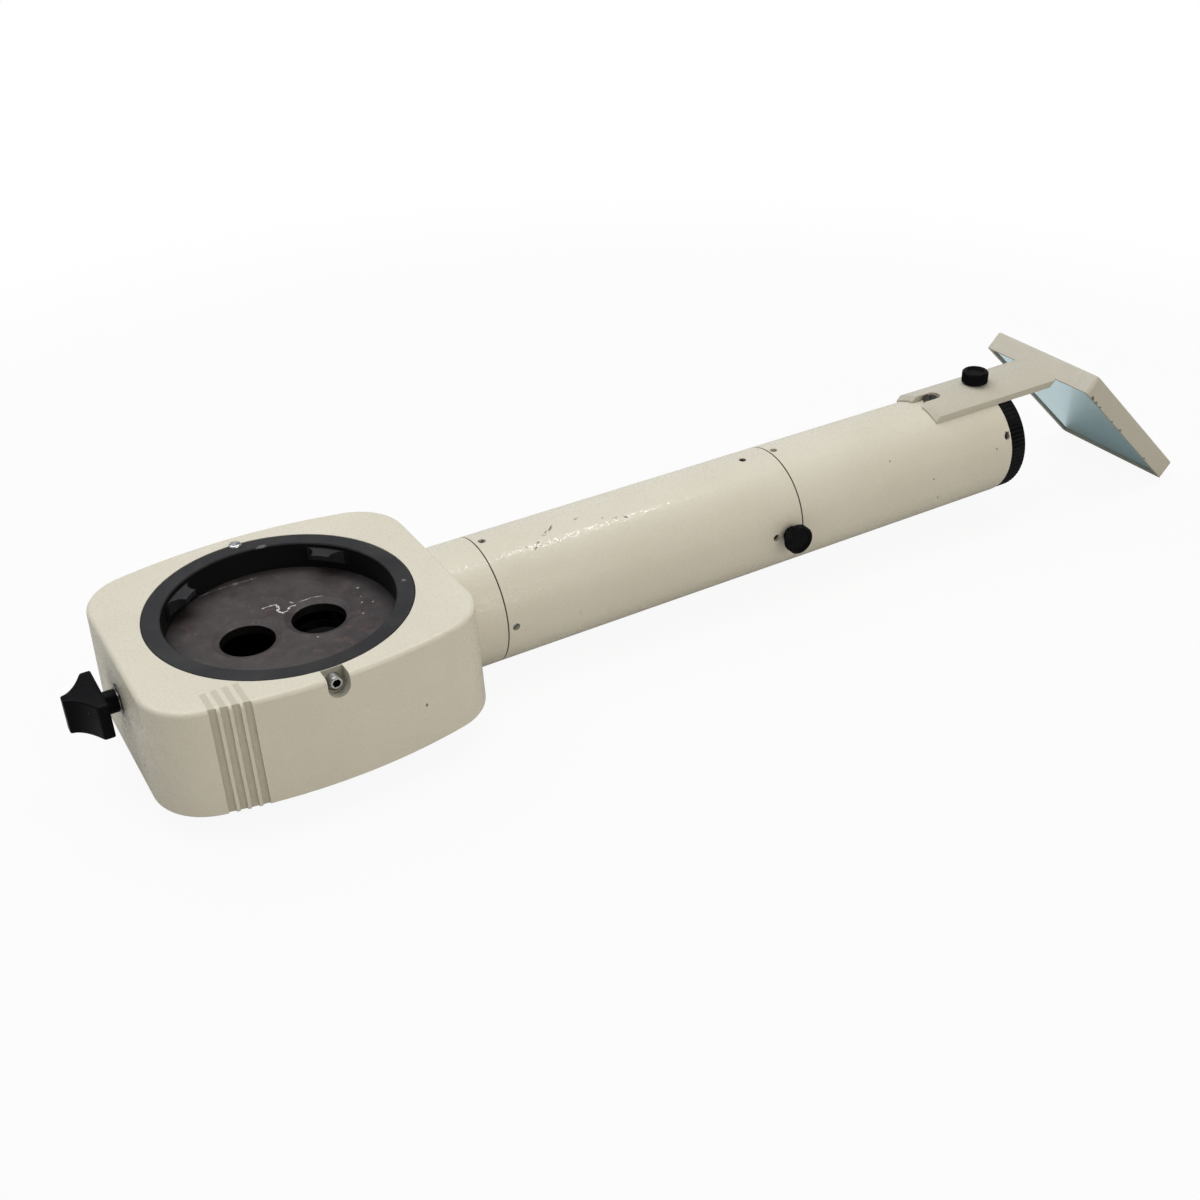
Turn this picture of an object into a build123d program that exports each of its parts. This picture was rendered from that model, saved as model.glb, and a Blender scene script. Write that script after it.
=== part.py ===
from build123d import *
import os
from math import cos, sin, tan, radians, pi, sqrt, acos

# Camera lucida (drawing tube) for a stereo microscope.
# Millimetres. The origin is the centre of the foot's lower face, +Z is up,
# and +X runs from the body along the drawing tube.

# Fits shared by every pair that moves or drops together
running_gap = 0.05
slide_gap = 0.10
seat_gap = 0.05
seam_gap = 0.22
free_gap = 0.30

# Body casting
body_length = 108.4
body_mid_width = 98.4
body_end_width = 80.0
body_corner_radius = 19.0
body_height = 37.0
body_wall = 3.5
body_draft = 1.5
body_top_radius = 1.6
body_bottom_radius = 0.6
foot_depth = 8.5
side_groove_count = 4
side_groove_pitch = 3.3
side_groove_width = 2.3
side_groove_depth = 1.0
side_groove_margin = 17.55
index_line_length = 11.0
index_line_width = 0.5
index_line_depth = 0.3
index_line_drop = 21.8

# Levels of the body
base_z = foot_depth
top_z = foot_depth + body_height
half_length = body_length / 2
half_width = body_mid_width / 2
cavity_top_z = top_z - body_wall

# Head seat: black ring, dark seat plate and the ledge that carries them
ring_end_margin = 11.37
ring_side_margin = 6.37
ring_width = 5.93
seat_depth = 9.3
ring_edge_chamfer = 0.35
plate_thickness = 4.0
ledge_set_back = 0.6
ledge_thickness = 2.0
barrel_wall = 2.0
lug_angles = (45.0, 134.0)
lug_reach = 5.4
lug_spread = 14.0
lug_top_drop = 1.5
lug_tip_thickness = 1.7
lug_root_thickness = 5.5
scallop_radius = 4.0
scallop_inset = 4.2
scallop_offset_angle = 12.5
optical_spacing = 24.0
light_hole_radius = 8.87
light_rim_radius = 11.1
light_rim_depth = 1.0
seat_screw_count = 4
seat_screw_radius = 1.25
seat_screw_head_radius = 2.2
seat_screw_head_height = 1.5
seat_screw_grip = 5.0
seat_screw_inset = 2.63

# Head clamp screw in its U-shaped recess, and the index pin opposite it
clamp_screw_radius = 2.0
clamp_screw_drop = 3.5
clamp_recess_width = 7.0
clamp_recess_web = 0.35
clamp_screw_set_back = 2.6
clamp_screw_reach = 1.3
clamp_tip_length = 1.4
clamp_tip_radius = 1.0
clamp_rim_width = 0.9
clamp_rim_extra = 0.12
clamp_neck_radius = 1.75
clamp_hex_across = 2.0
clamp_hex_depth = 2.4
index_pin_radius = 2.2
index_pin_length = 8.0
index_pin_proud = 0.7
index_pin_inset = 0.63

# Drawing tube
tube_radius = 22.2
tube_bore_radius = 20.0
tube_axis_drop = 22.95
neck_length = 14.2
neck_overlap = 10.2
neck_end_wall = 3.0
neck_bore_radius = 17.0
neck_stop_radius = 15.0
neck_stop_out = 3.8
spigot_length = 12.0
fixed_tube_length = 121.2
outer_tube_length = 101.8
tube_edge_round = 0.35
axis_z = top_z - tube_axis_drop

# Field lens in the neck
field_lens_edge = 3.0
field_lens_bulge = 1.8
field_ring_width = 3.0

# Small slotted screws of the tube
grub_radius = 1.35
grub_sunk = 0.35
grub_deep = 1.3
grub_slot_width = 0.45
grub_slot_depth = 0.7
neck_grub_offset = 2.8
collar_grub_offset = 11.6
quarter_angles = (0.0, 90.0, 180.0, 270.0)
sleeve_screw_angles = (90.0, 270.0)
sleeve_screw_offset = 2.1

# Turning joint between the two tubes
collar_length = 16.3
collar_wall = 1.43
sleeve_wall = 2.0
sleeve_grip_length = 15.0
sleeve_tail = 6.0
snap_ring_width = 1.2
snap_ring_depth = 0.8
snap_ring_proud = 0.9

# Thumb screws
stud_radius = 2.0
side_screw_offset = 5.6
side_head_radius = 5.3
side_head_thickness = 3.7
side_boss_radius = 3.2
side_boss_length = 2.7
arm_head_radius = 5.1
arm_head_thickness = 4.7
arm_boss_radius = 3.4
arm_boss_length = 0.3
thumb_ridge_count = 36
thumb_ridge_depth = 0.28
thumb_dish_depth = 0.5
thumb_dish_share = 0.72

# Focusing end
barrel_length = 21.5
barrel_inside = 15.4
barrel_bore_radius = 17.6
focus_ring_radius = 22.0
focus_ring_length = 7.1
focus_ridge_count = 80
focus_ridge_depth = 0.35
end_ring_radius = 20.9
end_ring_width = 0.9
end_ring_set_back = 0.3
cell_wall = 1.5
cell_length = 12.0
cell_stop_length = 2.5
cell_stop_radius = 14.5
focus_travel = 1.3
focus_turn = 90.0
focus_pin_set_back = 3.2
focus_pin_reach = 20.8
focus_groove_depth = 1.0
focus_pin_radius = 1.0
focus_pin_offset = 2.0
focus_pin_angle = 180.0
lens_edge = 4.0
lens_bulge = 1.6
lens_ring_width = 1.6
lens_ring_wall = 1.2
barrel_screw_offset = 2.0
barrel_screw_angles = (24.0, 204.0)

# Mirror arm and mirror
arm_thickness = 2.2
arm_start_set_back = 31.5
arm_inner_half_angle = 31.5
arm_outer_half_angle = 28.4
arm_end_bevel = 1.6
fork_slot_width = 5.5
fork_slot_length = 10.5
arm_slide_travel = 2.4
arm_screw_set_back = 2.5
guide_screw_inset = 4.2
guide_screw_head_radius = 2.5
guide_screw_shank_radius = 1.5
guide_screw_head_height = 1.5
mirror_tilt = 45.0
mirror_corner_reach = 30.3
mirror_corner_height = 21.9
tray_width = 56.0
tray_length = 75.0
tray_thickness = 8.0
tray_rim = 1.4
tray_corner_radius = 1.6
tray_edge_radius = 0.9
mirror_thickness = 3.0
mirror_recess = 0.7
mirror_gap = 0.15
pad_thickness = 0.5

# Path-change knob and its shaft
knob_drop = 16.3
knob_half_width = 10.9
knob_height = 12.7
knob_tip_thickness = 3.3
knob_reach = 11.8
knob_ridge_width = 5.0
knob_flank_hollow = 1.5
knob_edge_radius = 0.6
knob_stand_off = 4.4
knob_hub_radius = 6.0
knob_set_screw_radius = 1.25
shaft_radius = 3.0
shaft_in_knob = 7.5
shaft_tail = 0.9
bush_radius = 5.0
bush_proud = 0.2

# Rack, gear and prism carriage
gear_module = 1.0
gear_teeth = 22
gear_width = 3.5
gear_wall_gap = 1.0
pressure_angle = 20.0
tooth_backlash = 0.12
gear_clip_width = 0.6
gear_clip_radius = 4.2
gear_clip_depth = 0.6
gear_clip_gap = 0.1
rack_tooth_first = -7
rack_tooth_last = 1
rack_tab_margin = 1.0
rack_screw_radius = 0.8
rack_screw_length = 3.4
rack_screw_inset = 5.0
plate_width_front = 10.0
plate_rim = 1.4
carriage_thickness = 2.25
carriage_end_margin = 11.2
carriage_right_x = 30.5
beam_cube = 16.0
beam_window_radius = 7.6
compensator_height = 8.0
bracket_length = 12.0
bracket_height = 6.0
bracket_screw_pitch = 7.0
bracket_screw_radius = 1.0
bracket_head_radius = 1.9
bracket_head_height = 1.1
guide_slot_x = (-34.0, 26.5)
guide_post_y = 3.0
guide_shoulder_radius = 1.5
guide_head_radius = 3.0
guide_head_height = 1.5
guide_thread = 3.0

# Bottom plate, its screws and the foot
bottom_thickness = 3.5
bottom_edge_margin = 11.4
post_radius = 4.0
post_end_margin = 11.2
post_edge_margin = 6.3
post_left_side_margin = 8.97
post_right_side_margin = 7.09
cover_screw_radius = 1.5
cover_head_radius = 2.9
cover_head_height = 1.6
cover_screw_length = 9.0
foot_flange_radius = 33.6
foot_neck_radius = 30.6
foot_flange_height = 3.0
foot_flank_height = 2.4
foot_bore_radius = 24.0
foot_screw_count = 4
foot_screw_circle = 27.3
foot_screw_radius = 1.5
foot_head_radius = 2.8
foot_head_height = 3.0

# Places worked out from the sizes above
light_x = optical_spacing / 2
ring_outer_radius = min(half_length - ring_end_margin, half_width - ring_side_margin)
ring_inner_radius = ring_outer_radius - ring_width
ledge_inner_radius = ring_inner_radius + ledge_set_back
lug_tip_radius = ring_inner_radius - lug_reach
scallop_centre_radius = ring_inner_radius - scallop_inset
seat_screw_circle = ring_outer_radius - seat_screw_inset
clamp_screw_outer_y = half_width - clamp_screw_set_back
clamp_screw_tip_y = ring_inner_radius - clamp_screw_reach
index_pin_y = ring_outer_radius - index_pin_inset
side_groove_first_x = -half_length + side_groove_margin
carriage_left_x = -half_length + carriage_end_margin
bottom_edge_x = half_length - bottom_edge_margin
neck_end_x = half_length + neck_length
neck_inner_x = half_length - neck_overlap
neck_stop_x = half_length + neck_stop_out
seat_z = top_z - seat_depth
plate_bottom_z = seat_z - plate_thickness
ledge_bottom_z = plate_bottom_z - ledge_thickness
seat_bore_radius = ring_outer_radius + seat_gap
fixed_tube_x = neck_end_x + seam_gap
fixed_tube_end = fixed_tube_x + fixed_tube_length - 2 * seam_gap
outer_tube_x = fixed_tube_end + seam_gap
outer_tube_end = outer_tube_x + outer_tube_length
floor_z = base_z + bottom_thickness
knob_z = top_z - knob_drop
pitch_radius = gear_module * gear_teeth / 2
carriage_travel = pitch_radius * pi / 2
mirror_x = outer_tube_end + mirror_corner_reach
mirror_z = axis_z + mirror_corner_height
arm_inner_radius = tube_radius + slide_gap
arm_outer_radius = arm_inner_radius + arm_thickness
arm_start_x = outer_tube_end - arm_start_set_back
arm_screw_x = outer_tube_end - arm_screw_set_back
side_screw_x = fixed_tube_end - side_screw_offset


# Solids along the three axes
def rod_z(radius, z0, z1, x=0.0, y=0.0):
    return Pos(x, y, (z0 + z1) / 2) * Cylinder(radius, z1 - z0)


def rod_x(radius, x0, x1, y=0.0, z=None):
    height = axis_z if z is None else z
    return Pos((x0 + x1) / 2, y, height) * Rot(0, 90, 0) * Cylinder(radius, x1 - x0)


def rod_y(radius, y0, y1, x=0.0, z=0.0):
    return Pos(x, (y0 + y1) / 2, z) * Rot(90, 0, 0) * Cylinder(radius, y1 - y0)


def ring_x(outer, inner, x0, x1):
    return rod_x(outer, x0, x1) - rod_x(inner, x0 - 1, x1 + 1)


def block(x0, x1, y0, y1, z0, z1):
    return Pos((x0 + x1) / 2, (y0 + y1) / 2, (z0 + z1) / 2) * Box(x1 - x0, y1 - y0, z1 - z0)


# A place on the tube: angle 0 faces -Y and 90 faces up, +Z points away from the axis
def on_tube(x, angle, radius=0.0):
    return Pos(x, 0, axis_z) * Rot(90 - angle, 0, 0) * Pos(0, 0, radius)


def spoke(radius, x, angle, r0, r1):
    return on_tube(x, angle, (r0 + r1) / 2) * Cylinder(radius, r1 - r0)


# A closed profile of (x, radius) points turned about the tube axis
def turned_x(points):
    outline = Polyline(*[(x, axis_z + r) for x, r in points], close=True)
    return revolve(Plane.XZ * make_face(outline), Axis((0, 0, axis_z), (1, 0, 0)), 360)


# A closed profile of (radius, z) points turned about Z
def turned_z(points):
    outline = Polyline(*points, close=True)
    return revolve(Plane.XZ * make_face(outline), Axis.Z, 360)


# A lens with two equally curved faces inside a flat rim, turned about the tube axis
def lens_x(radius, clear_radius, x0, edge, bulge):
    x1 = x0 + edge
    outline = (
        Line((x0 - bulge, axis_z), (x1 + bulge, axis_z))
        + lens_curve(x1 + bulge, x1, clear_radius)
        + Line((x1, axis_z + clear_radius), (x1, axis_z + radius))
        + Line((x1, axis_z + radius), (x0, axis_z + radius))
        + Line((x0, axis_z + radius), (x0, axis_z + clear_radius))
        + lens_curve(x0 - bulge, x0, clear_radius)
    )
    return revolve(Plane.XZ * make_face(outline), Axis((0, 0, axis_z), (1, 0, 0)), 360)


def lens_curve(crown_x, rim_x, radius):
    sag = abs(crown_x - rim_x)
    ball = (radius ** 2 + sag ** 2) / (2 * sag)
    side = 1 if crown_x > rim_x else -1
    middle = radius / 2
    middle_x = crown_x - side * (ball - sqrt(ball ** 2 - middle ** 2))
    return ThreePointArc((crown_x, axis_z), (middle_x, axis_z + middle), (rim_x, axis_z + radius))


# A ridged rim: straight V ridges round a circle, as a flat face
def ridged_face(radius, depth, count):
    points = []
    for ridge in range(count):
        angle = 2 * pi * ridge / count
        half = pi / count
        points.append((radius * cos(angle), radius * sin(angle)))
        points.append(((radius - depth) * cos(angle + half), (radius - depth) * sin(angle + half)))
    return make_face(Polyline(*points, close=True))


# Plan outline of the body: flat ends, bulged sides and rounded corners
def body_outline(inset=0.0):
    x = half_length
    end_y = body_end_width / 2
    mid_y = body_mid_width / 2
    sides = (
        ThreePointArc((-x, -end_y), (0, -mid_y), (x, -end_y))
        + Line((x, -end_y), (x, end_y))
        + ThreePointArc((x, end_y), (0, mid_y), (-x, end_y))
        + Line((-x, end_y), (-x, -end_y))
    )
    face = make_face(sides)
    face = fillet(face.vertices(), body_corner_radius)
    return offset(face, -inset) if inset else face


def side_radius():
    rise = (body_mid_width - body_end_width) / 2
    return (half_length ** 2 + rise ** 2) / (2 * rise)


# Half width of the body's bulged side at a given x
def side_y(x):
    big = side_radius()
    return body_mid_width / 2 - (big - sqrt(big ** 2 - x ** 2))


# Body casting: outer form, cavity, seat, neck, grooves and recess
def make_housing():
    shell = drafted_shell()
    shell = fillet(shell.faces().sort_by(Axis.Z)[-1].edges(), body_top_radius)
    shell = fillet(shell.faces().sort_by(Axis.Z)[0].edges(), body_bottom_radius)
    shell += rod_x(tube_radius, neck_inner_x, neck_end_x)
    shell += rod_x(tube_bore_radius - seat_gap, neck_end_x, neck_end_x + spigot_length)
    shell -= cavity_solid()
    shell += seat_barrel()
    shell += cover_posts()
    shell -= rod_z(seat_bore_radius, plate_bottom_z, top_z + 1)
    shell -= rod_z(ledge_inner_radius, ledge_bottom_z - 1, top_z)
    bore_start = neck_inner_x + neck_end_wall
    shell -= rod_x(neck_stop_radius, bore_start, neck_end_x + spigot_length + 1)
    shell -= rod_x(neck_bore_radius, neck_stop_x, neck_end_x + spigot_length + 1)
    shell -= clamp_recess()
    shell -= side_grooves()
    shell -= index_line()
    shell -= index_pin_solid(0.0)
    shell -= rod_x(bush_radius, -half_length - 1, -half_length + body_wall + 1, z=knob_z)
    for x, y in seat_screw_places():
        shell -= rod_z(seat_screw_radius, ledge_bottom_z - 1, plate_bottom_z + 1, x, y)
    for x, y in post_centres():
        shell -= rod_z(cover_screw_radius, floor_z - 1, floor_z + cover_screw_length, x, y)
    return shell


# Outer form with its casting draft: the plan outline holds at mid height
def drafted_shell(inset=0.0):
    growth = body_height / 2 * tan(radians(body_draft))
    bottom = Pos(0, 0, base_z) * body_outline(inset - growth)
    return extrude(bottom, body_height, taper=body_draft)


# Hollow of the body, open below up to the straight edge of the bottom plate
def cavity_solid():
    inside = body_outline(body_wall)
    hollow = Pos(0, 0, floor_z) * extrude(inside, cavity_top_z - floor_z)
    mouth = Pos(0, 0, base_z - 1) * extrude(inside, bottom_thickness + 1)
    keep = block(-body_length, bottom_edge_x, -body_length, body_length, 0, top_z)
    return hollow + (mouth & keep)


# Round wall that carries the ring, down to the ledge
def seat_barrel():
    outside = rod_z(seat_bore_radius + barrel_wall, ledge_bottom_z, cavity_top_z + body_wall / 2)
    limit = Pos(0, 0, base_z) * extrude(body_outline(body_wall / 2), body_height)
    return outside & limit


def post_centres():
    left = -half_length + post_end_margin
    right = bottom_edge_x - post_edge_margin
    left_y = side_y(left) - post_left_side_margin
    right_y = side_y(right) - post_right_side_margin
    return [(left, left_y), (left, -left_y), (right, right_y), (right, -right_y)]


def cover_posts():
    posts = [rod_z(post_radius, floor_z, cavity_top_z + 1, x, y) for x, y in post_centres()]
    limit = Pos(0, 0, base_z) * extrude(body_outline(body_wall / 2), body_height)
    return (posts[0] + posts[1] + posts[2] + posts[3]) & limit


def clamp_recess():
    z = top_z - clamp_screw_drop
    inner_y = -(seat_bore_radius + clamp_recess_web)
    half = clamp_recess_width / 2
    groove = rod_y(half, -body_mid_width, inner_y, z=z)
    groove += block(-half, half, -body_mid_width, inner_y, z, top_z + 1)
    groove += rod_y(clamp_screw_radius + running_gap, inner_y - 1, -ring_inner_radius, z=z)
    return groove


def side_grooves():
    cuts = []
    for index in range(side_groove_count):
        x = side_groove_first_x + index * side_groove_pitch
        wall_y = -side_y(x)
        half = side_groove_width / 2
        cuts.append(block(x - half, x + half, wall_y - 6, wall_y + 6, 0, top_z + 1))
    return Compound(children=cuts) - drafted_shell(side_groove_depth)


def index_line():
    z = top_z - index_line_drop
    half = index_line_width / 2
    wall_x = -half_length + (z - base_z - body_height / 2) * tan(radians(body_draft))
    return block(-half_length - 1, wall_x + index_line_depth, 1.0,
                 1.0 + index_line_length, z - half, z + half)


# Head seat ring with its two dovetail lugs
def make_seat_ring():
    ring = turned_z([
        (ring_inner_radius, seat_z),
        (ring_outer_radius, seat_z),
        (ring_outer_radius, top_z - ring_edge_chamfer),
        (ring_outer_radius - ring_edge_chamfer, top_z),
        (ring_inner_radius + ring_edge_chamfer, top_z),
        (ring_inner_radius, top_z - ring_edge_chamfer),
    ])
    lug_top = top_z - lug_top_drop
    root = ring_inner_radius + 0.6
    section = Plane.XZ * make_face(Polyline(
        (root, lug_top), (lug_tip_radius, lug_top),
        (lug_tip_radius, lug_top - lug_tip_thickness), (root, lug_top - lug_root_thickness),
        close=True))
    for angle in lug_angles:
        lug = revolve(section, Axis.Z, 2 * lug_spread)
        ring += Rot(0, 0, angle - lug_spread) * lug
    for angle in lug_angles:
        for side in (-1, 1):
            turn = radians(angle + side * scallop_offset_angle)
            x = scallop_centre_radius * cos(turn)
            y = scallop_centre_radius * sin(turn)
            ring -= rod_z(scallop_radius, seat_z + 0.5, top_z - ring_edge_chamfer, x, y)
    ring -= rod_y(clamp_screw_radius + running_gap, -body_mid_width, -lug_tip_radius,
                  z=top_z - clamp_screw_drop)
    ring -= index_pin_solid(0.0)
    for x, y in seat_screw_places():
        ring -= rod_z(seat_screw_radius, seat_z - 1, seat_z + seat_screw_grip, x, y)
    return ring


def seat_screw_places():
    step = 360 / seat_screw_count
    turns = [radians(15 + step * index) for index in range(seat_screw_count)]
    return [(seat_screw_circle * cos(turn), seat_screw_circle * sin(turn)) for turn in turns]


# Seat plate with the two light holes in their dished rims
def make_seat_plate():
    plate = rod_z(ring_outer_radius, plate_bottom_z, seat_z)
    for x in (-light_x, light_x):
        plate -= rod_z(light_hole_radius, plate_bottom_z - 1, seat_z + 1, x)
        rim = Pos(x, 0, seat_z - light_rim_depth / 2) * Cone(
            light_hole_radius, light_rim_radius, light_rim_depth)
        plate -= rim
    for x, y in seat_screw_places():
        plate -= rod_z(seat_screw_radius, plate_bottom_z - 1, seat_z + 1, x, y)
    return plate


def make_seat_screws():
    screws = []
    for x, y in seat_screw_places():
        screw = rod_z(seat_screw_radius, ledge_bottom_z, seat_z + seat_screw_grip - free_gap, x, y)
        screw += rod_z(seat_screw_head_radius, ledge_bottom_z - seat_screw_head_height,
                       ledge_bottom_z, x, y)
        screws.append(screw)
    return Compound(children=screws)


# Socket set screw that clamps the head
def make_clamp_screw():
    z = top_z - clamp_screw_drop
    outer = clamp_screw_outer_y
    tip = clamp_screw_tip_y
    profile = Polyline(
        (0, tip), (clamp_tip_radius, tip), (clamp_screw_radius, tip + clamp_tip_length),
        (clamp_screw_radius, outer - 2 * clamp_rim_width),
        (clamp_neck_radius, outer - 1.7 * clamp_rim_width),
        (clamp_neck_radius, outer - 1.2 * clamp_rim_width),
        (clamp_screw_radius + clamp_rim_extra, outer - clamp_rim_width),
        (clamp_screw_radius + clamp_rim_extra, outer - 0.3 * clamp_rim_width),
        (clamp_screw_radius - 0.15, outer), (0, outer), close=True)
    screw = revolve(make_face(profile), Axis.Y, 360)
    socket = Pos(0, outer, 0) * Rot(90, 0, 0) * extrude(
        RegularPolygon(clamp_hex_across / 2, 6, major_radius=False), clamp_hex_depth)
    screw -= socket
    return Pos(0, 0, z) * Rot(0, 0, 180) * screw


# Index pin with a low domed end, half in the ring and half in the casting
def index_pin_solid(proud):
    z0 = top_z - index_pin_length
    pin = rod_z(index_pin_radius, z0, top_z + 1, y=index_pin_y)
    if proud == 0.0:
        return pin
    pin = rod_z(index_pin_radius, z0, top_z + proud, y=index_pin_y)
    return fillet(pin.faces().sort_by(Axis.Z)[-1].edges(), 0.6)


# Bottom plate that closes the body
def make_bottom_plate():
    inside = body_outline(body_wall + slide_gap)
    plate = Pos(0, 0, base_z) * extrude(inside, bottom_thickness)
    edge = bottom_edge_x - slide_gap
    plate &= block(-body_length, edge, -body_length, body_length, 0, top_z)
    for x in (-light_x, light_x):
        plate -= rod_z(light_hole_radius, base_z - 1, floor_z + 1, x)
    for x, y in post_centres():
        plate -= rod_z(cover_screw_radius, base_z - 1, floor_z + 1, x, y)
        plate -= cover_head(x, y, base_z)
    for x, y in foot_screw_places():
        plate -= rod_z(foot_screw_radius, base_z - 1, floor_z - 1, x, y)
    for x in guide_slot_x:
        plate -= rod_z(guide_shoulder_radius, floor_z - guide_thread, floor_z + 1, x, guide_post_y)
    return plate


def cover_head(x, y, z):
    return Pos(x, y, z + cover_head_height / 2) * Cone(
        cover_head_radius, cover_screw_radius, cover_head_height)


def make_bottom_screws():
    screws = []
    for x, y in post_centres():
        screw = cover_head(x, y, base_z)
        screw += rod_z(cover_screw_radius, base_z + cover_head_height,
                       floor_z + cover_screw_length - 1, x, y)
        slot = block(x - cover_head_radius, x + cover_head_radius, y - 0.4, y + 0.4,
                     base_z - 1, base_z + 0.8)
        screws.append(screw - slot)
    return Compound(children=screws)


# Round male dovetail under the body
def make_foot():
    flank_top = foot_flange_height + foot_flank_height
    foot = turned_z([
        (foot_bore_radius, 0), (foot_flange_radius, 0), (foot_flange_radius, foot_flange_height),
        (foot_neck_radius, flank_top), (foot_neck_radius, base_z),
        (foot_bore_radius, base_z),
    ])
    for x, y in foot_screw_places():
        foot -= rod_z(foot_screw_radius, -1, base_z + 1, x, y)
        foot -= rod_z(foot_head_radius + slide_gap, -1, foot_head_height + 1, x, y)
    return foot


def foot_screw_places():
    step = 360 / foot_screw_count
    turns = [radians(45 + step * index) for index in range(foot_screw_count)]
    return [(foot_screw_circle * cos(turn), foot_screw_circle * sin(turn)) for turn in turns]


def make_foot_screws():
    screws = []
    seat = foot_head_height + 1
    for x, y in foot_screw_places():
        screw = rod_z(foot_head_radius, 1, seat, x, y)
        screw += rod_z(foot_screw_radius, seat, floor_z - 1.5, x, y)
        hexagon = Pos(x, y, 1) * extrude(RegularPolygon(1.25, 6, major_radius=False), 1.6)
        screws.append(screw - hexagon)
    return Compound(children=screws)


# Path-change knob: a hollow-flanked wing on a round hub
def make_knob():
    back = -half_length - knob_stand_off
    front = back - knob_reach
    step = back - knob_tip_thickness
    wide = knob_half_width
    slim = knob_ridge_width / 2
    middle_x = (step + front) / 2 + knob_flank_hollow * 0.6
    middle_y = (wide + slim) / 2 - knob_flank_hollow
    outline = (
        Line((back, -wide), (back, wide)) + Line((back, wide), (step, wide))
        + ThreePointArc((step, wide), (middle_x, middle_y), (front, slim))
        + Line((front, slim), (front, -slim))
        + ThreePointArc((front, -slim), (middle_x, -middle_y), (step, -wide))
        + Line((step, -wide), (back, -wide))
    )
    knob = extrude(make_face(outline), knob_height / 2, both=True)
    knob = fillet(knob.edges().filter_by(Axis.Z), knob_edge_radius)
    knob = Pos(0, 0, knob_z) * knob
    hub_end = -half_length - bush_proud - free_gap
    knob += rod_x(knob_hub_radius, back, hub_end, z=knob_z)
    knob -= rod_x(shaft_radius, back - shaft_in_knob, 0, z=knob_z)
    knob -= set_screw_solid()
    return knob


def set_screw_solid():
    x = -half_length - knob_stand_off / 2 - bush_proud / 2
    return rod_z(knob_set_screw_radius, knob_z + shaft_radius, knob_z + knob_hub_radius + 1, x)


def make_knob_set_screw():
    top = knob_z + knob_hub_radius - 0.3
    screw = set_screw_solid() & block(-half_length - knob_reach, 0, -2, 2, 0, top)
    x = screw.center().X
    slot = block(x - 2, x + 2, -0.2, 0.2, top - 0.6, top + 1)
    return screw - slot


def gear_span():
    x0 = -half_length + body_wall + gear_wall_gap
    return x0, x0 + gear_width


def make_knob_shaft():
    back = -half_length - knob_stand_off
    clip_x = gear_span()[1] + gear_clip_gap
    end = clip_x + gear_clip_width + shaft_tail - 0.6
    shaft = rod_x(shaft_radius, back - shaft_in_knob, end, z=knob_z)
    groove = rod_x(shaft_radius + 1, clip_x, clip_x + gear_clip_width, z=knob_z)
    groove -= rod_x(shaft_radius - gear_clip_depth, clip_x - 1, end + 1, z=knob_z)
    return shaft - groove


def make_shaft_bush():
    x0 = -half_length - bush_proud
    x1 = -half_length + body_wall + bush_proud
    bush = rod_x(bush_radius, x0, x1, z=knob_z)
    return bush - rod_x(shaft_radius + running_gap, x0 - 1, x1 + 1, z=knob_z)


def make_gear_clip():
    x0 = gear_span()[1] + gear_clip_gap
    x1 = x0 + gear_clip_width
    clip = rod_x(gear_clip_radius, x0, x1, z=knob_z)
    clip -= rod_x(shaft_radius - gear_clip_depth, x0 - 1, x1 + 1, z=knob_z)
    mouth = shaft_radius - gear_clip_depth
    return clip - block(x0 - 1, x1 + 1, -mouth, mouth, knob_z, knob_z + gear_clip_radius + 1)


# Half tooth angle of an involute tooth at a given radius, thinned by the backlash
def tooth_half_angle(radius):
    base = pitch_radius * cos(radians(pressure_angle))
    at_pitch = tan(radians(pressure_angle)) - radians(pressure_angle)
    roll = acos(min(1.0, base / radius))
    half_at_pitch = (pi * gear_module / 2 - tooth_backlash) / (2 * pitch_radius)
    return half_at_pitch + at_pitch - (tan(roll) - roll)


# Gear on the knob shaft, with a gap between teeth straight below the axis
def make_gear():
    base = pitch_radius * cos(radians(pressure_angle))
    tip = pitch_radius + gear_module
    root = pitch_radius - 1.25 * gear_module
    flank = [base, base + 0.35 * (tip - base), base + 0.7 * (tip - base), tip]
    points = []
    for tooth in range(gear_teeth):
        centre = -pi / 2 + 2 * pi * (tooth + 0.5) / gear_teeth
        points.append((root, centre - tooth_half_angle(base) - 0.02))
        for radius in flank:
            points.append((radius, centre - tooth_half_angle(radius)))
        for radius in reversed(flank):
            points.append((radius, centre + tooth_half_angle(radius)))
        points.append((root, centre + tooth_half_angle(base) + 0.02))
    corners = [(radius * cos(angle), radius * sin(angle)) for radius, angle in points]
    x0 = gear_span()[0]
    place = Plane(origin=(x0, 0, knob_z), x_dir=(0, 1, 0), z_dir=(1, 0, 0))
    gear = extrude(place * make_face(Polyline(*corners, close=True)), gear_width)
    return gear - rod_x(shaft_radius, x0 - 1, x0 + gear_width + 1, z=knob_z)


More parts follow.
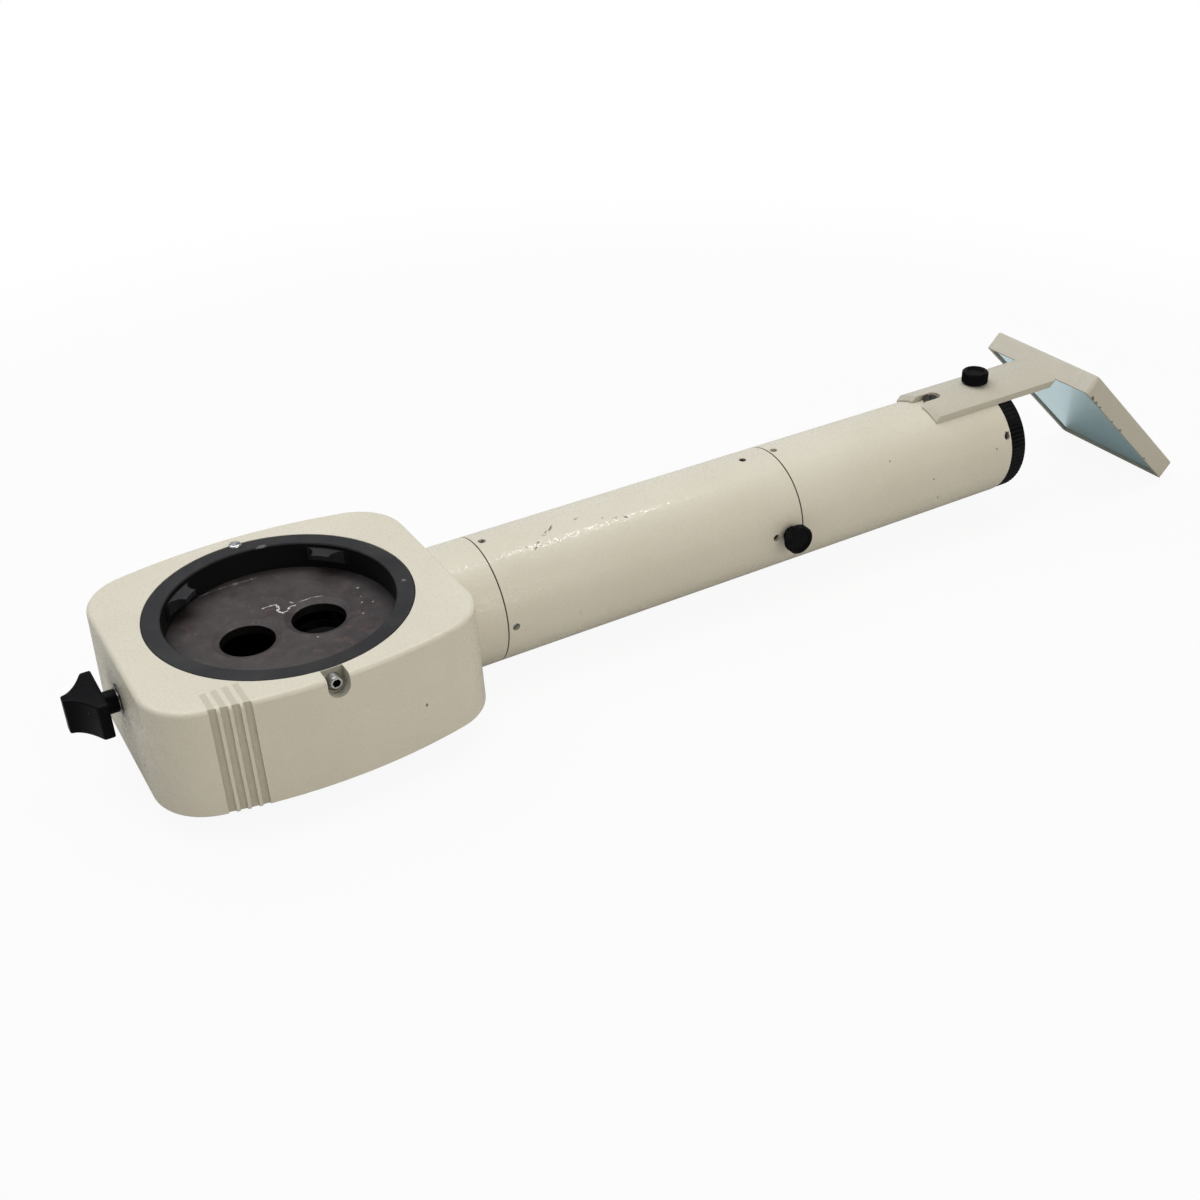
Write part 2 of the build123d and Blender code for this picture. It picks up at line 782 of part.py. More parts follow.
# Rack under the gear, one straight tooth every pitch
def make_rack():
    pitch = pi * gear_module
    pitch_z = knob_z - pitch_radius
    tip_z = pitch_z + gear_module
    root_z = pitch_z - 1.25 * gear_module
    half_pitch_line = (pitch / 2 - tooth_backlash) / 2
    lean = tan(radians(pressure_angle))
    half_tip = half_pitch_line - gear_module * lean
    half_root = half_pitch_line + 1.25 * gear_module * lean
    points = [(rack_y0(), carriage_top()), (rack_y0(), root_z)]
    for tooth in range(rack_tooth_first, rack_tooth_last + 1):
        y = tooth * pitch
        points += [(y - half_root, root_z), (y - half_tip, tip_z)]
        points += [(y + half_tip, tip_z), (y + half_root, root_z)]
    points += [(rack_y1(), root_z), (rack_y1(), carriage_top())]
    x0 = gear_span()[0]
    place = Plane(origin=(x0, 0, 0), x_dir=(0, 1, 0), z_dir=(1, 0, 0))
    rack = extrude(place * make_face(Polyline(*points, close=True)), gear_width)
    for y in (rack_y0() + rack_screw_inset, rack_y1() - rack_screw_inset):
        rack -= rod_z(rack_screw_radius, 0, carriage_top() + 2.0, x0 + gear_width / 2, y)
    return rack


def rack_y0():
    return rack_tooth_first * pi * gear_module - rack_tab_margin


def rack_y1():
    return rack_tooth_last * pi * gear_module + rack_tab_margin


def make_rack_screws():
    x = gear_span()[0] + gear_width / 2
    z0 = carriage_bottom() + 0.1
    screws = []
    for y in (rack_y0() + rack_screw_inset, rack_y1() - rack_screw_inset):
        screws.append(rod_z(rack_screw_radius, z0, z0 + rack_screw_length, x, y))
    return Compound(children=screws)


def carriage_bottom():
    return floor_z + free_gap


def carriage_top():
    return carriage_bottom() + carriage_thickness


# Sliding plate with two windows under the glass and two clear holes behind them
def make_carriage():
    back_y = -carriage_travel - light_hole_radius - plate_rim
    z0 = carriage_bottom()
    z1 = carriage_top()
    plate = block(carriage_left_x, carriage_right_x, back_y, plate_width_front, z0, z1)
    plate = fillet(plate.edges().filter_by(Axis.Z), 3.0)
    plate += block(gear_span()[0], carriage_left_x + 4, rack_y0(), rack_y1(), z0, z1)
    for x in (-light_x, light_x):
        plate -= rod_z(beam_window_radius, z0 - 1, z1 + 1, x)
        plate -= rod_z(light_hole_radius, z0 - 1, z1 + 1, x, -carriage_travel)
    for x in guide_slot_x:
        width = guide_shoulder_radius + slide_gap
        plate -= rod_z(width, z0 - 1, z1 + 1, x, guide_post_y)
        plate -= rod_z(width, z0 - 1, z1 + 1, x, guide_post_y - carriage_travel)
        plate -= block(x - width, x + width, guide_post_y - carriage_travel, guide_post_y,
                       z0 - 1, z1 + 1)
    for y in (-bracket_screw_pitch / 2, bracket_screw_pitch / 2):
        plate -= rod_z(bracket_screw_radius, z0 - 1, z1 + 1, 0, y)
    x = gear_span()[0] + gear_width / 2
    for y in (rack_y0() + rack_screw_inset, rack_y1() - rack_screw_inset):
        plate -= rod_z(rack_screw_radius, z0 - 1, z1 + 1, x, y)
    return plate


def make_guide_screws():
    screws = []
    head_z = carriage_top() + free_gap
    for x in guide_slot_x:
        screw = rod_z(guide_shoulder_radius, floor_z - guide_thread, head_z, x, guide_post_y)
        screw += rod_z(guide_head_radius, head_z, head_z + guide_head_height, x, guide_post_y)
        slot = block(x - 4, x + 4, guide_post_y - 0.35, guide_post_y + 0.35,
                     head_z + 0.7, head_z + 3)
        screws.append(screw - slot)
    return Compound(children=screws)


# Glass on the carriage: beam splitter under the right eye, plain block under the left
def make_beam_splitter():
    half = beam_cube / 2
    cube = block(light_x - half, light_x + half, -half, half, carriage_top(), carriage_top() + beam_cube)
    return chamfer(cube.edges(), 0.3)


def make_compensator():
    half = beam_cube / 2
    glass = block(-light_x - half, -light_x + half, -half, half, carriage_top(),
                  carriage_top() + compensator_height)
    return chamfer(glass.edges(), 0.3)


def make_bracket():
    half = light_x - beam_cube / 2
    z0 = carriage_top()
    z1 = z0 + bracket_height
    bracket = block(-half, half, -bracket_length / 2, bracket_length / 2, z0, z1)
    for y in (-bracket_screw_pitch / 2, bracket_screw_pitch / 2):
        bracket -= rod_z(bracket_screw_radius, z0 - 1, z1 + 1, 0, y)
        bracket -= bracket_head(y)
    return bracket


def bracket_head(y):
    z = carriage_top() + bracket_height - bracket_head_height / 2
    return Pos(0, y, z) * Cone(bracket_screw_radius, bracket_head_radius, bracket_head_height)


def make_bracket_screws():
    screws = []
    for y in (-bracket_screw_pitch / 2, bracket_screw_pitch / 2):
        z1 = carriage_top() + bracket_height - bracket_head_height
        screws.append(bracket_head(y) + rod_z(bracket_screw_radius, carriage_bottom() + 0.2, z1, 0, y))
    return Compound(children=screws)


# Tube sections
def make_field_lens():
    clear = neck_stop_radius - slide_gap
    return lens_x(neck_bore_radius, clear, neck_stop_x, field_lens_edge, field_lens_bulge)


def make_field_ring():
    x0 = neck_stop_x + field_lens_edge
    return ring_x(neck_bore_radius, neck_stop_radius, x0, x0 + field_ring_width)


def rounded_tube(x0, x1):
    tube = ring_x(tube_radius, tube_bore_radius, x0, x1)
    rims = tube.edges().filter_by(GeomType.CIRCLE).group_by(SortBy.LENGTH)[-1]
    return fillet(rims, tube_edge_round)


def make_fixed_tube():
    tube = rounded_tube(fixed_tube_x, fixed_tube_end)
    for x in (fixed_tube_x + neck_grub_offset, fixed_tube_end - collar_grub_offset):
        for angle in quarter_angles:
            tube -= spoke(grub_radius, x, angle, tube_bore_radius - 1, tube_radius + 1)
    return tube - spoke(stud_radius + slide_gap, side_screw_x, 0, tube_bore_radius - 1, tube_radius + 1)


# A slotted grub screw from r0 to r1 on the tube
def grub(x, angle, r0, r1):
    screw = spoke(grub_radius, x, angle, r0, r1)
    slot = on_tube(x, angle, r1) * Rot(0, 0, 35) * Box(
        4 * grub_radius, grub_slot_width, 2 * grub_slot_depth)
    return screw - slot


def make_neck_grubs():
    x = fixed_tube_x + neck_grub_offset
    inner = tube_bore_radius - seat_gap
    screws = [grub(x, angle, inner, tube_radius - grub_sunk) for angle in quarter_angles]
    return Compound(children=screws)


def make_collar():
    x1 = fixed_tube_end - seam_gap
    outer = tube_bore_radius - seat_gap / 2
    collar = ring_x(outer, outer - collar_wall, x1 - collar_length, x1)
    return collar - spoke(stud_radius + running_gap, side_screw_x, 0, outer - 4, outer + 1)


# The grub that faces front sits deeper than the others
def make_collar_grubs():
    x = fixed_tube_end - collar_grub_offset
    inner = tube_bore_radius - seat_gap / 2
    screws = []
    for angle in quarter_angles:
        sunk = grub_deep if angle == 0.0 else grub_sunk
        screws.append(grub(x, angle, inner, tube_radius - sunk))
    return Compound(children=screws)


def sleeve_outer():
    return tube_bore_radius - seat_gap / 2 - collar_wall - running_gap


def sleeve_end_x():
    return fixed_tube_end - seam_gap - collar_length - sleeve_tail


def make_sleeve():
    grip = tube_bore_radius - seat_gap / 2
    inner = sleeve_outer() - sleeve_wall
    x0 = sleeve_end_x()
    sleeve = turned_x([
        (x0, inner), (outer_tube_x + sleeve_grip_length, inner),
        (outer_tube_x + sleeve_grip_length, grip), (outer_tube_x, grip),
        (outer_tube_x, sleeve_outer()), (x0, sleeve_outer()),
    ])
    groove_x = snap_ring_x()
    sleeve -= ring_x(sleeve_outer() + 1, sleeve_outer() - snap_ring_depth,
                     groove_x, groove_x + snap_ring_width)
    for angle in sleeve_screw_angles:
        sleeve -= spoke(grub_radius, outer_tube_x + sleeve_screw_offset, angle,
                        sleeve_outer() - sleeve_wall - 1, tube_bore_radius + 1)
    return sleeve


def snap_ring_x():
    return fixed_tube_end - seam_gap - collar_length - free_gap - snap_ring_width


def make_snap_ring():
    x0 = snap_ring_x()
    outer = sleeve_outer() + snap_ring_proud
    ring = ring_x(outer, sleeve_outer() - snap_ring_depth, x0, x0 + snap_ring_width)
    return ring - block(x0 - 1, x0 + 3, -1.5, 1.5, axis_z - tube_radius, axis_z)


def make_outer_tube():
    tube = rounded_tube(outer_tube_x, outer_tube_end)
    for angle in sleeve_screw_angles:
        tube -= spoke(grub_radius, outer_tube_x + sleeve_screw_offset, angle,
                      tube_bore_radius - 1, tube_radius + 1)
    for angle in barrel_screw_angles:
        tube -= spoke(grub_radius, outer_tube_end - barrel_screw_offset, angle,
                      tube_bore_radius - 1, tube_radius + 1)
    tube -= spoke(stud_radius + running_gap, arm_screw_x, 90, tube_bore_radius - 1, tube_radius + 1)
    tube -= spoke(guide_screw_shank_radius, guide_screw_x(), 90, tube_bore_radius - 1, tube_radius + 1)
    return tube


def make_sleeve_screws():
    x = outer_tube_x + sleeve_screw_offset
    inner = sleeve_outer() - sleeve_wall + 0.2
    screws = [grub(x, angle, inner, tube_radius - grub_deep) for angle in sleeve_screw_angles]
    return Compound(children=screws)


# A ridged plastic head with a dished face, its underside at z = 0 and its axis along +Z
def thumb_head(radius, thickness, boss_radius, boss_length):
    face = ridged_face(radius, thumb_ridge_depth, thumb_ridge_count)
    head = extrude(face, thickness)
    top = Pos(0, 0, thickness) * Cylinder(radius * 2, 4)
    limit = Pos(0, 0, thickness / 2) * Cylinder(radius, thickness)
    limit = chamfer(limit.edges().filter_by(GeomType.CIRCLE), 0.5)
    head &= limit
    dish = Pos(0, 0, thickness) * Cylinder(radius * thumb_dish_share, 2 * thumb_dish_depth)
    head -= chamfer(dish.faces().sort_by(Axis.Z)[0].edges(), thumb_dish_depth * 0.8)
    head += Pos(0, 0, -boss_length / 2) * Cylinder(boss_radius, boss_length)
    return head


def side_head_radius_from_axis():
    return tube_radius + free_gap + side_boss_length


def make_side_knob():
    place = on_tube(side_screw_x, 0, side_head_radius_from_axis())
    head = thumb_head(side_head_radius, side_head_thickness, side_boss_radius, side_boss_length)
    return (place * head) - side_stud_solid()


def side_stud_solid():
    inner = sleeve_outer() + running_gap
    outer = side_head_radius_from_axis() + side_head_thickness * 0.6
    return spoke(stud_radius, side_screw_x, 0, inner, outer)


def arm_head_from_axis():
    return arm_outer_radius + arm_boss_length


def arm_stud_solid():
    inner = barrel_bore_radius + free_gap
    outer = arm_head_from_axis() + arm_head_thickness * 0.6
    return spoke(stud_radius, arm_screw_x, 90, inner, outer)


def make_arm_knob():
    place = on_tube(arm_screw_x, 90, arm_head_from_axis())
    head = thumb_head(arm_head_radius, arm_head_thickness, arm_boss_radius, arm_boss_length - slide_gap)
    return (place * head) - arm_stud_solid()


# Focusing end: fixed barrel, turning ring, sliding lens cell
def barrel_end_x():
    return outer_tube_end + barrel_length - barrel_inside


def make_barrel():
    x1 = barrel_end_x()
    outer = tube_bore_radius - running_gap
    barrel = ring_x(outer, barrel_bore_radius, x1 - barrel_length, x1)
    half = focus_pin_radius + running_gap
    pin_x = focus_pin_x()
    for x in (pin_x - focus_travel, pin_x + focus_travel):
        barrel -= spoke(half, x, focus_pin_angle, barrel_bore_radius - 1, outer + 1)
    barrel -= on_tube(pin_x, focus_pin_angle, outer - 1) * Box(2 * focus_travel, 2 * half, 6)
    for angle in barrel_screw_angles:
        barrel -= spoke(grub_radius, outer_tube_end - barrel_screw_offset, angle,
                        barrel_bore_radius + 0.6, outer + 1)
    barrel -= spoke(stud_radius + running_gap, arm_screw_x, 90, barrel_bore_radius - 1, outer + 1)
    return barrel


def make_barrel_screws():
    x = outer_tube_end - barrel_screw_offset
    inner = barrel_bore_radius + 0.7
    screws = [grub(x, angle, inner, tube_radius - grub_deep) for angle in barrel_screw_angles]
    return Compound(children=screws)


def focus_ring_x():
    return outer_tube_end + seam_gap


def make_focus_ring():
    x0 = focus_ring_x()
    x1 = x0 + focus_ring_length
    face = ridged_face(focus_ring_radius, focus_ridge_depth, focus_ridge_count)
    place = Plane(origin=(x0, 0, axis_z), x_dir=(0, 1, 0), z_dir=(1, 0, 0))
    ring = extrude(place * face, focus_ring_length)
    limit = rod_x(focus_ring_radius, x0, x1)
    limit = chamfer(limit.edges().filter_by(GeomType.CIRCLE), 0.4)
    ring &= limit
    ring -= rod_x(tube_bore_radius, x0 - 1, x1 + 1)
    ring -= rod_x(end_ring_radius + slide_gap, barrel_end_x() - slide_gap, x1 + 1)
    return ring - focus_groove()


# Helical groove inside the focusing ring that drives the pin of the lens cell
def focus_groove():
    lead = focus_travel / radians(focus_turn)
    over = radians(3)
    sweep_turn = radians(focus_turn) + over
    reach = tube_bore_radius - focus_groove_depth / 4
    start = Plane(origin=(focus_pin_x() - lead * sweep_turn, 0, axis_z),
                  x_dir=(0, cos(sweep_turn), sin(sweep_turn)), z_dir=(1, 0, 0))
    path = start * Helix(2 * pi * lead, 2 * lead * sweep_turn, reach, lefthand=True)
    radial = Vector(0, cos(sweep_turn), sin(sweep_turn))
    profile = Plane(origin=path @ 0, x_dir=radial, z_dir=path % 0)
    depth = 2 * (tube_bore_radius + focus_groove_depth - reach)
    width = 2 * (focus_pin_radius + slide_gap)
    return sweep(profile * Rectangle(depth, width), path=path, is_frenet=True)


def make_end_ring():
    x0 = barrel_end_x()
    return ring_x(end_ring_radius, barrel_bore_radius + slide_gap, x0, x0 + end_ring_width)


def focus_pin_x():
    return outer_tube_end + focus_pin_set_back


def cell_end_x():
    return focus_pin_x() + focus_pin_offset


def make_cell():
    x1 = cell_end_x()
    x0 = x1 - cell_length
    outer = barrel_bore_radius - running_gap
    cell = ring_x(outer, outer - cell_wall, x0, x1)
    cell += ring_x(outer - cell_wall / 2, cell_stop_radius, x0, x0 + cell_stop_length)
    return cell - spoke(focus_pin_radius, focus_pin_x(), focus_pin_angle, outer - cell_wall - 1, outer + 1)


def make_focus_pin():
    outer = barrel_bore_radius - running_gap
    return spoke(focus_pin_radius, focus_pin_x(), focus_pin_angle, outer - cell_wall, focus_pin_reach)


def lens_seat():
    return cell_end_x() - cell_length + cell_stop_length


def make_objective_lens():
    radius = barrel_bore_radius - running_gap - cell_wall
    clear = cell_stop_radius - slide_gap
    return lens_x(radius, clear, lens_seat(), lens_edge, lens_bulge)


def make_lens_ring():
    radius = barrel_bore_radius - running_gap - cell_wall
    x0 = lens_seat() + lens_edge
    return ring_x(radius, radius - lens_ring_wall, x0, x0 + lens_ring_width)


# Mirror plane: local x runs down the mirror, local z away from the reflecting face
def mirror_place():
    turn = radians(mirror_tilt)
    return Plane(origin=(mirror_x, 0, mirror_z), x_dir=(cos(turn), 0, -sin(turn)),
                 z_dir=(sin(turn), 0, cos(turn)))


def polar(radius, degrees_from_top):
    turn = radians(degrees_from_top)
    return (radius * sin(turn), radius * cos(turn))


# Saddle-shaped arm, forked at its inner end
def make_arm():
    inner = arm_inner_radius
    outer = arm_outer_radius
    wide = arm_inner_half_angle
    slim = arm_outer_half_angle
    section = (
        ThreePointArc(polar(outer, -slim), polar(outer, 0), polar(outer, slim))
        + Line(polar(outer, slim), polar(inner, wide))
        + ThreePointArc(polar(inner, wide), polar(inner, 0), polar(inner, -wide))
        + Line(polar(inner, -wide), polar(outer, -slim))
    )
    place = Plane(origin=(arm_start_x, 0, axis_z), x_dir=(0, 1, 0), z_dir=(1, 0, 0))
    arm = extrude(place * make_face(section), mirror_x - arm_start_x + tray_thickness)
    end_arcs = arm.faces().sort_by(Axis.X)[0].edges().filter_by(GeomType.CIRCLE)
    end_arcs = end_arcs.group_by(SortBy.RADIUS)[-1]
    arm = chamfer(end_arcs, arm_end_bevel)
    arm -= mirror_place() * Box(200, 200, 200, align=(Align.MIN, Align.CENTER, Align.CENTER))
    return arm


def guide_screw_x():
    return arm_start_x + fork_slot_length - fork_slot_width / 2 - guide_screw_inset + 3.0


def make_mirror_holder():
    local = mirror_place()
    tray = Box(tray_length, tray_width, tray_thickness,
               align=(Align.MIN, Align.CENTER, Align.MIN))
    tray = fillet(tray.edges().filter_by(Axis.Z), tray_corner_radius)
    tray = fillet(tray.faces().sort_by(Axis.Z)[-1].edges(), tray_edge_radius)
    pocket_depth = mirror_recess + mirror_thickness + pad_thickness
    pocket = Pos(tray_rim, 0, 0) * Box(
        tray_length - 2 * tray_rim, tray_width - 2 * tray_rim, 2 * pocket_depth,
        align=(Align.MIN, Align.CENTER, Align.CENTER))
    holder = (local * tray) + make_arm()
    holder -= local * pocket
    slot_end = arm_start_x + fork_slot_length - fork_slot_width / 2
    half = fork_slot_width / 2
    holder -= rod_z(half, axis_z, top_z * 2, slot_end)
    holder -= block(arm_start_x - 5, slot_end, -half, half, axis_z, top_z * 2)
    width = stud_radius + slide_gap
    holder -= rod_z(width, axis_z, top_z * 2, arm_screw_x)
    holder -= rod_z(width, axis_z, top_z * 2, arm_screw_x - arm_slide_travel)
    holder -= block(arm_screw_x - arm_slide_travel, arm_screw_x, -width, width, axis_z, top_z * 2)
    return holder


def glass_plate(thickness, drop):
    length = tray_length - 2 * tray_rim - 2 * mirror_gap
    width = tray_width - 2 * tray_rim - 2 * mirror_gap
    plate = Pos(tray_rim + mirror_gap, 0, drop) * Box(
        length, width, thickness, align=(Align.MIN, Align.CENTER, Align.MIN))
    return mirror_place() * plate


def make_guide_screw():
    x = guide_screw_x()
    head = tube_radius + free_gap
    screw = spoke(guide_screw_shank_radius, x, 90, tube_bore_radius - 1.5, head)
    screw += spoke(guide_screw_head_radius, x, 90, tube_radius, head + guide_screw_head_height)
    slot = on_tube(x, 90, head + guide_screw_head_height) * Rot(0, 0, 60) * Box(
        4 * guide_screw_head_radius, 0.7, 1.2)
    return screw - slot


nodes = {
    "housing": make_housing(),
    "seat_ring": make_seat_ring(),
    "seat_plate": make_seat_plate(),
    "seat_screws": make_seat_screws(),
    "clamp_screw": make_clamp_screw(),
    "index_pin": index_pin_solid(index_pin_proud),
    "bottom_plate": make_bottom_plate(),
    "bottom_screws": make_bottom_screws(),
    "foot_dovetail": make_foot(),
    "foot_screws": make_foot_screws(),
    "path_knob": make_knob(),
    "knob_set_screw": make_knob_set_screw(),
    "knob_shaft": make_knob_shaft(),
    "shaft_bush": make_shaft_bush(),
    "drive_gear": make_gear(),
    "gear_clip": make_gear_clip(),
    "carriage_rack": make_rack(),
    "rack_screws": make_rack_screws(),
    "prism_carriage": make_carriage(),
    "carriage_guide_screws": make_guide_screws(),
    "beam_splitter": make_beam_splitter(),
    "compensator_glass": make_compensator(),
    "prism_bracket": make_bracket(),
    "bracket_screws": make_bracket_screws(),
    "field_lens": make_field_lens(),
    "field_lens_ring": make_field_ring(),
    "fixed_tube": make_fixed_tube(),
    "neck_grub_screws": make_neck_grubs(),
    "clamp_collar": make_collar(),
    "collar_grub_screws": make_collar_grubs(),
    "tube_thumb_knob": make_side_knob(),
    "tube_thumb_stud": side_stud_solid(),
    "turning_sleeve": make_sleeve(),
    "sleeve_snap_ring": make_snap_ring(),
    "outer_tube": make_outer_tube(),
    "sleeve_screws": make_sleeve_screws(),
    "end_barrel": make_barrel(),
    "barrel_screws": make_barrel_screws(),
    "focus_ring": make_focus_ring(),
    "end_ring": make_end_ring(),
    "lens_cell": make_cell(),
    "focus_pin": make_focus_pin(),
    "objective_lens": make_objective_lens(),
    "lens_ring": make_lens_ring(),
    "mirror_holder": make_mirror_holder(),
    "mirror": glass_plate(mirror_thickness, mirror_recess),
    "mirror_pad": glass_plate(pad_thickness, mirror_recess + mirror_thickness),
    "arm_thumb_knob": make_arm_knob(),
    "arm_thumb_stud": arm_stud_solid(),
    "arm_guide_screw": make_guide_screw(),
}

os.makedirs("parts", exist_ok=True)
for name, shape in nodes.items():
    export_step(shape, "parts/" + name + ".step")
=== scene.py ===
import bpy
import numpy as np
from math import radians, cos, sin, pi
from mathutils import Matrix, Vector


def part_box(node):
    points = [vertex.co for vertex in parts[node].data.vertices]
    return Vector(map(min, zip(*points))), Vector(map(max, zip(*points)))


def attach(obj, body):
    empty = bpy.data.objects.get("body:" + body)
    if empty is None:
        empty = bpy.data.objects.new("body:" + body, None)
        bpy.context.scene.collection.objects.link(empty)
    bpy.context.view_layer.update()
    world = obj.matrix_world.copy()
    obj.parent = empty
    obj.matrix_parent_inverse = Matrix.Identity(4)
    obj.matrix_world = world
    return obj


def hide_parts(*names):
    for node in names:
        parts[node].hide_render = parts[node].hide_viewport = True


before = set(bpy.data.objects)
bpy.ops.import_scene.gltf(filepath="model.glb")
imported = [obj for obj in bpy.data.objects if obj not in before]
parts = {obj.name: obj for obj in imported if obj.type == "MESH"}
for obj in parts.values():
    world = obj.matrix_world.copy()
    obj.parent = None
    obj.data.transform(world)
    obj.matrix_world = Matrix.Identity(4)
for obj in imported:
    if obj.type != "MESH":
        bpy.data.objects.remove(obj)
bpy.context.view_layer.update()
scene = bpy.context.scene
print("frame loaded:", len(parts), "nodes")


# camera as fitted to the photograph, angles in degrees, lengths in metres
cameraSetup = {
    "place": (-0.11224, -0.40260, 0.29976),
    "heading": 29.34,   # turned from +Y towards +X
    "downTilt": 31.78,
    "roll": -2.09,
    "lens": 45.60,
    "sensor": 36.0,
    "shiftX": 0.00478,
    "shiftY": -0.01408,
}

# floor: it touches the foot's edge and the mirror's lower edge
floorSetup = {
    "footPoint": (-0.0336, 0.0),
    "mirrorPoint": (0.3747, -0.0086),
    "halfSize": 3.0,
    "color": (0.56, 0.555, 0.54),
    "middle": (0.13, 0.0, 0.0),
    "nearWhite": (0.34, 0.925),   # distance in metres, share of pure white seen there
    "farWhite": (0.56, 1.00),
    "glossWhiteShare": 0.06,
    "gap": 0.00005,               # left under the object
    "roughness": 0.9,
    "shine": 0.1,
}

lightSetup = {
    "skyColor": (1.0, 0.975, 0.925),
    "skyStrength": 0.455,
    "ceiling": (0.085, 0.09, 0.095),   # what polished faces see above the white backdrop
    "backdropTop": (0.20, 0.42),       # sine of the height where the white fades out
    "lampTarget": (0.12, 0.0, 0.02),
    "lamps": {
        "overheadSoftbox": {
            "place": (-0.08, 0.45, 1.25), "size": 1.30, "power": 14.8, "color": (0.91, 0.95, 1.0)},
        "sparkleLamp": {
            "place": (0.75, 0.12, 1.45), "size": 0.20, "power": 3.0, "color": (0.95, 0.97, 1.0)},
        "frontSoftbox": {
            "place": (0.25, -0.90, 0.45), "size": 0.5, "power": 2.6, "color": (1.0, 0.95, 0.85)},
    },
}


def addCamera(setup):
    data = bpy.data.cameras.new("photoCamera")
    data.sensor_width = setup["sensor"]
    data.lens = setup["lens"]
    data.shift_x = setup["shiftX"]
    data.shift_y = setup["shiftY"]
    data.clip_start = 0.01
    data.clip_end = 20.0
    camera = bpy.data.objects.new("photoCamera", data)
    turn = Matrix.Rotation(radians(-setup["heading"]), 4, "Z")
    tilt = Matrix.Rotation(radians(90 - setup["downTilt"]), 4, "X")
    roll = Matrix.Rotation(radians(setup["roll"]), 4, "Z")
    camera.matrix_world = Matrix.Translation(setup["place"]) @ turn @ tilt @ roll
    scene.collection.objects.link(camera)
    scene.camera = camera


def addAreaLight(name, setup, target):
    data = bpy.data.lights.new(name, "AREA")
    data.shape = "SQUARE"
    data.size = setup["size"]
    data.energy = setup["power"]
    data.color = setup["color"]
    lamp = bpy.data.objects.new(name, data)
    aim = (Vector(target) - Vector(setup["place"])).to_track_quat("-Z", "Y")
    lamp.matrix_world = Matrix.Translation(setup["place"]) @ aim.to_matrix().to_4x4()
    scene.collection.objects.link(lamp)


# ---- small helpers for shader trees


def place(tree, kind, **settings):
    node = tree.nodes.new(kind)
    for key, value in settings.items():
        setattr(node, key, value)
    return node


def feed(tree, socket, value):
    if isinstance(value, bpy.types.NodeSocket):
        tree.links.new(value, socket)
    else:
        socket.default_value = value


def calc(tree, operation, a, b=0.0):
    node = place(tree, "ShaderNodeMath", operation=operation)
    feed(tree, node.inputs[0], a)
    feed(tree, node.inputs[1], b)
    return node.outputs[0]


def vecCalc(tree, operation, a, b=(0.0, 0.0, 0.0)):
    node = place(tree, "ShaderNodeVectorMath", operation=operation)
    feed(tree, node.inputs[0], a)
    feed(tree, node.inputs[1], b)
    wantsNumber = operation in ("LENGTH", "DISTANCE", "DOT_PRODUCT")
    return node.outputs["Value" if wantsNumber else "Vector"]


def vecScale(tree, vector, factor):
    node = place(tree, "ShaderNodeVectorMath", operation="SCALE")
    feed(tree, node.inputs[0], vector)
    feed(tree, node.inputs["Scale"], factor)
    return node.outputs["Vector"]


def remap(tree, value, low, high, toLow=0.0, toHigh=1.0, smooth=False):
    kind = "SMOOTHSTEP" if smooth else "LINEAR"
    node = place(tree, "ShaderNodeMapRange", interpolation_type=kind, clamp=True)
    for socket, number in zip(node.inputs, (value, low, high, toLow, toHigh)):
        feed(tree, socket, number)
    return node.outputs[0]


def noise(tree, vector, scale, detail=2.0, rough=0.5, bend=0.0):
    node = place(tree, "ShaderNodeTexNoise")
    feed(tree, node.inputs["Vector"], vector)
    feed(tree, node.inputs["Scale"], scale)
    feed(tree, node.inputs["Detail"], detail)
    feed(tree, node.inputs["Roughness"], rough)
    feed(tree, node.inputs["Distortion"], bend)
    return node


def mixColor(tree, factor, a, b):
    node = place(tree, "ShaderNodeMix", data_type="RGBA")
    feed(tree, node.inputs[0], factor)
    for socket, value in ((node.inputs[6], a), (node.inputs[7], b)):
        if not isinstance(value, bpy.types.NodeSocket):
            value = tuple(value)[:3] + (1.0,)
        feed(tree, socket, value)
    return node.outputs[2]


# a colour laid over another where the mask is, at a share of the mask
def layer(tree, base, color, mask, share=1.0):
    if share != 1.0:
        mask = calc(tree, "MULTIPLY", mask, share)
    return mixColor(tree, mask, base, color)


def product(tree, *masks):
    total = masks[0]
    for mask in masks[1:]:
        total = calc(tree, "MULTIPLY", total, mask)
    return total


# the largest of some masks, where None stands for a mask with nothing in it
def largest(tree, masks):
    total = None
    for mask in masks:
        if mask is not None:
            total = mask if total is None else calc(tree, "MAXIMUM", total, mask)
    return total


def between(tree, value, low, high):
    return product(tree, calc(tree, "GREATER_THAN", value, low), calc(tree, "LESS_THAN", value, high))


def axes(tree, vector):
    split = place(tree, "ShaderNodeSeparateXYZ")
    feed(tree, split.inputs[0], vector)
    return split.outputs


def bumped(tree, height, distance, under=None):
    node = place(tree, "ShaderNodeBump")
    feed(tree, node.inputs["Strength"], 1.0)
    feed(tree, node.inputs["Distance"], distance)
    feed(tree, node.inputs["Height"], height)
    if under is not None:
        feed(tree, node.inputs["Normal"], under)
    return node.outputs["Normal"]


def objectPlace(tree):
    return place(tree, "ShaderNodeTexCoord").outputs["Object"]


def newGroup(name, inputs, outputs):
    tree = bpy.data.node_groups.new(name, "ShaderNodeTree")
    for title, kind, default in inputs:
        socket = tree.interface.new_socket(title, in_out="INPUT", socket_type="NodeSocket" + kind)
        socket.default_value = default
    for title, kind in outputs:
        tree.interface.new_socket(title, in_out="OUTPUT", socket_type="NodeSocket" + kind)
    return tree, place(tree, "NodeGroupInput"), place(tree, "NodeGroupOutput")


def useGroup(tree, group, **values):
    node = place(tree, "ShaderNodeGroup", node_tree=group)
    for title, value in values.items():
        feed(tree, node.inputs[title], value)
    return node


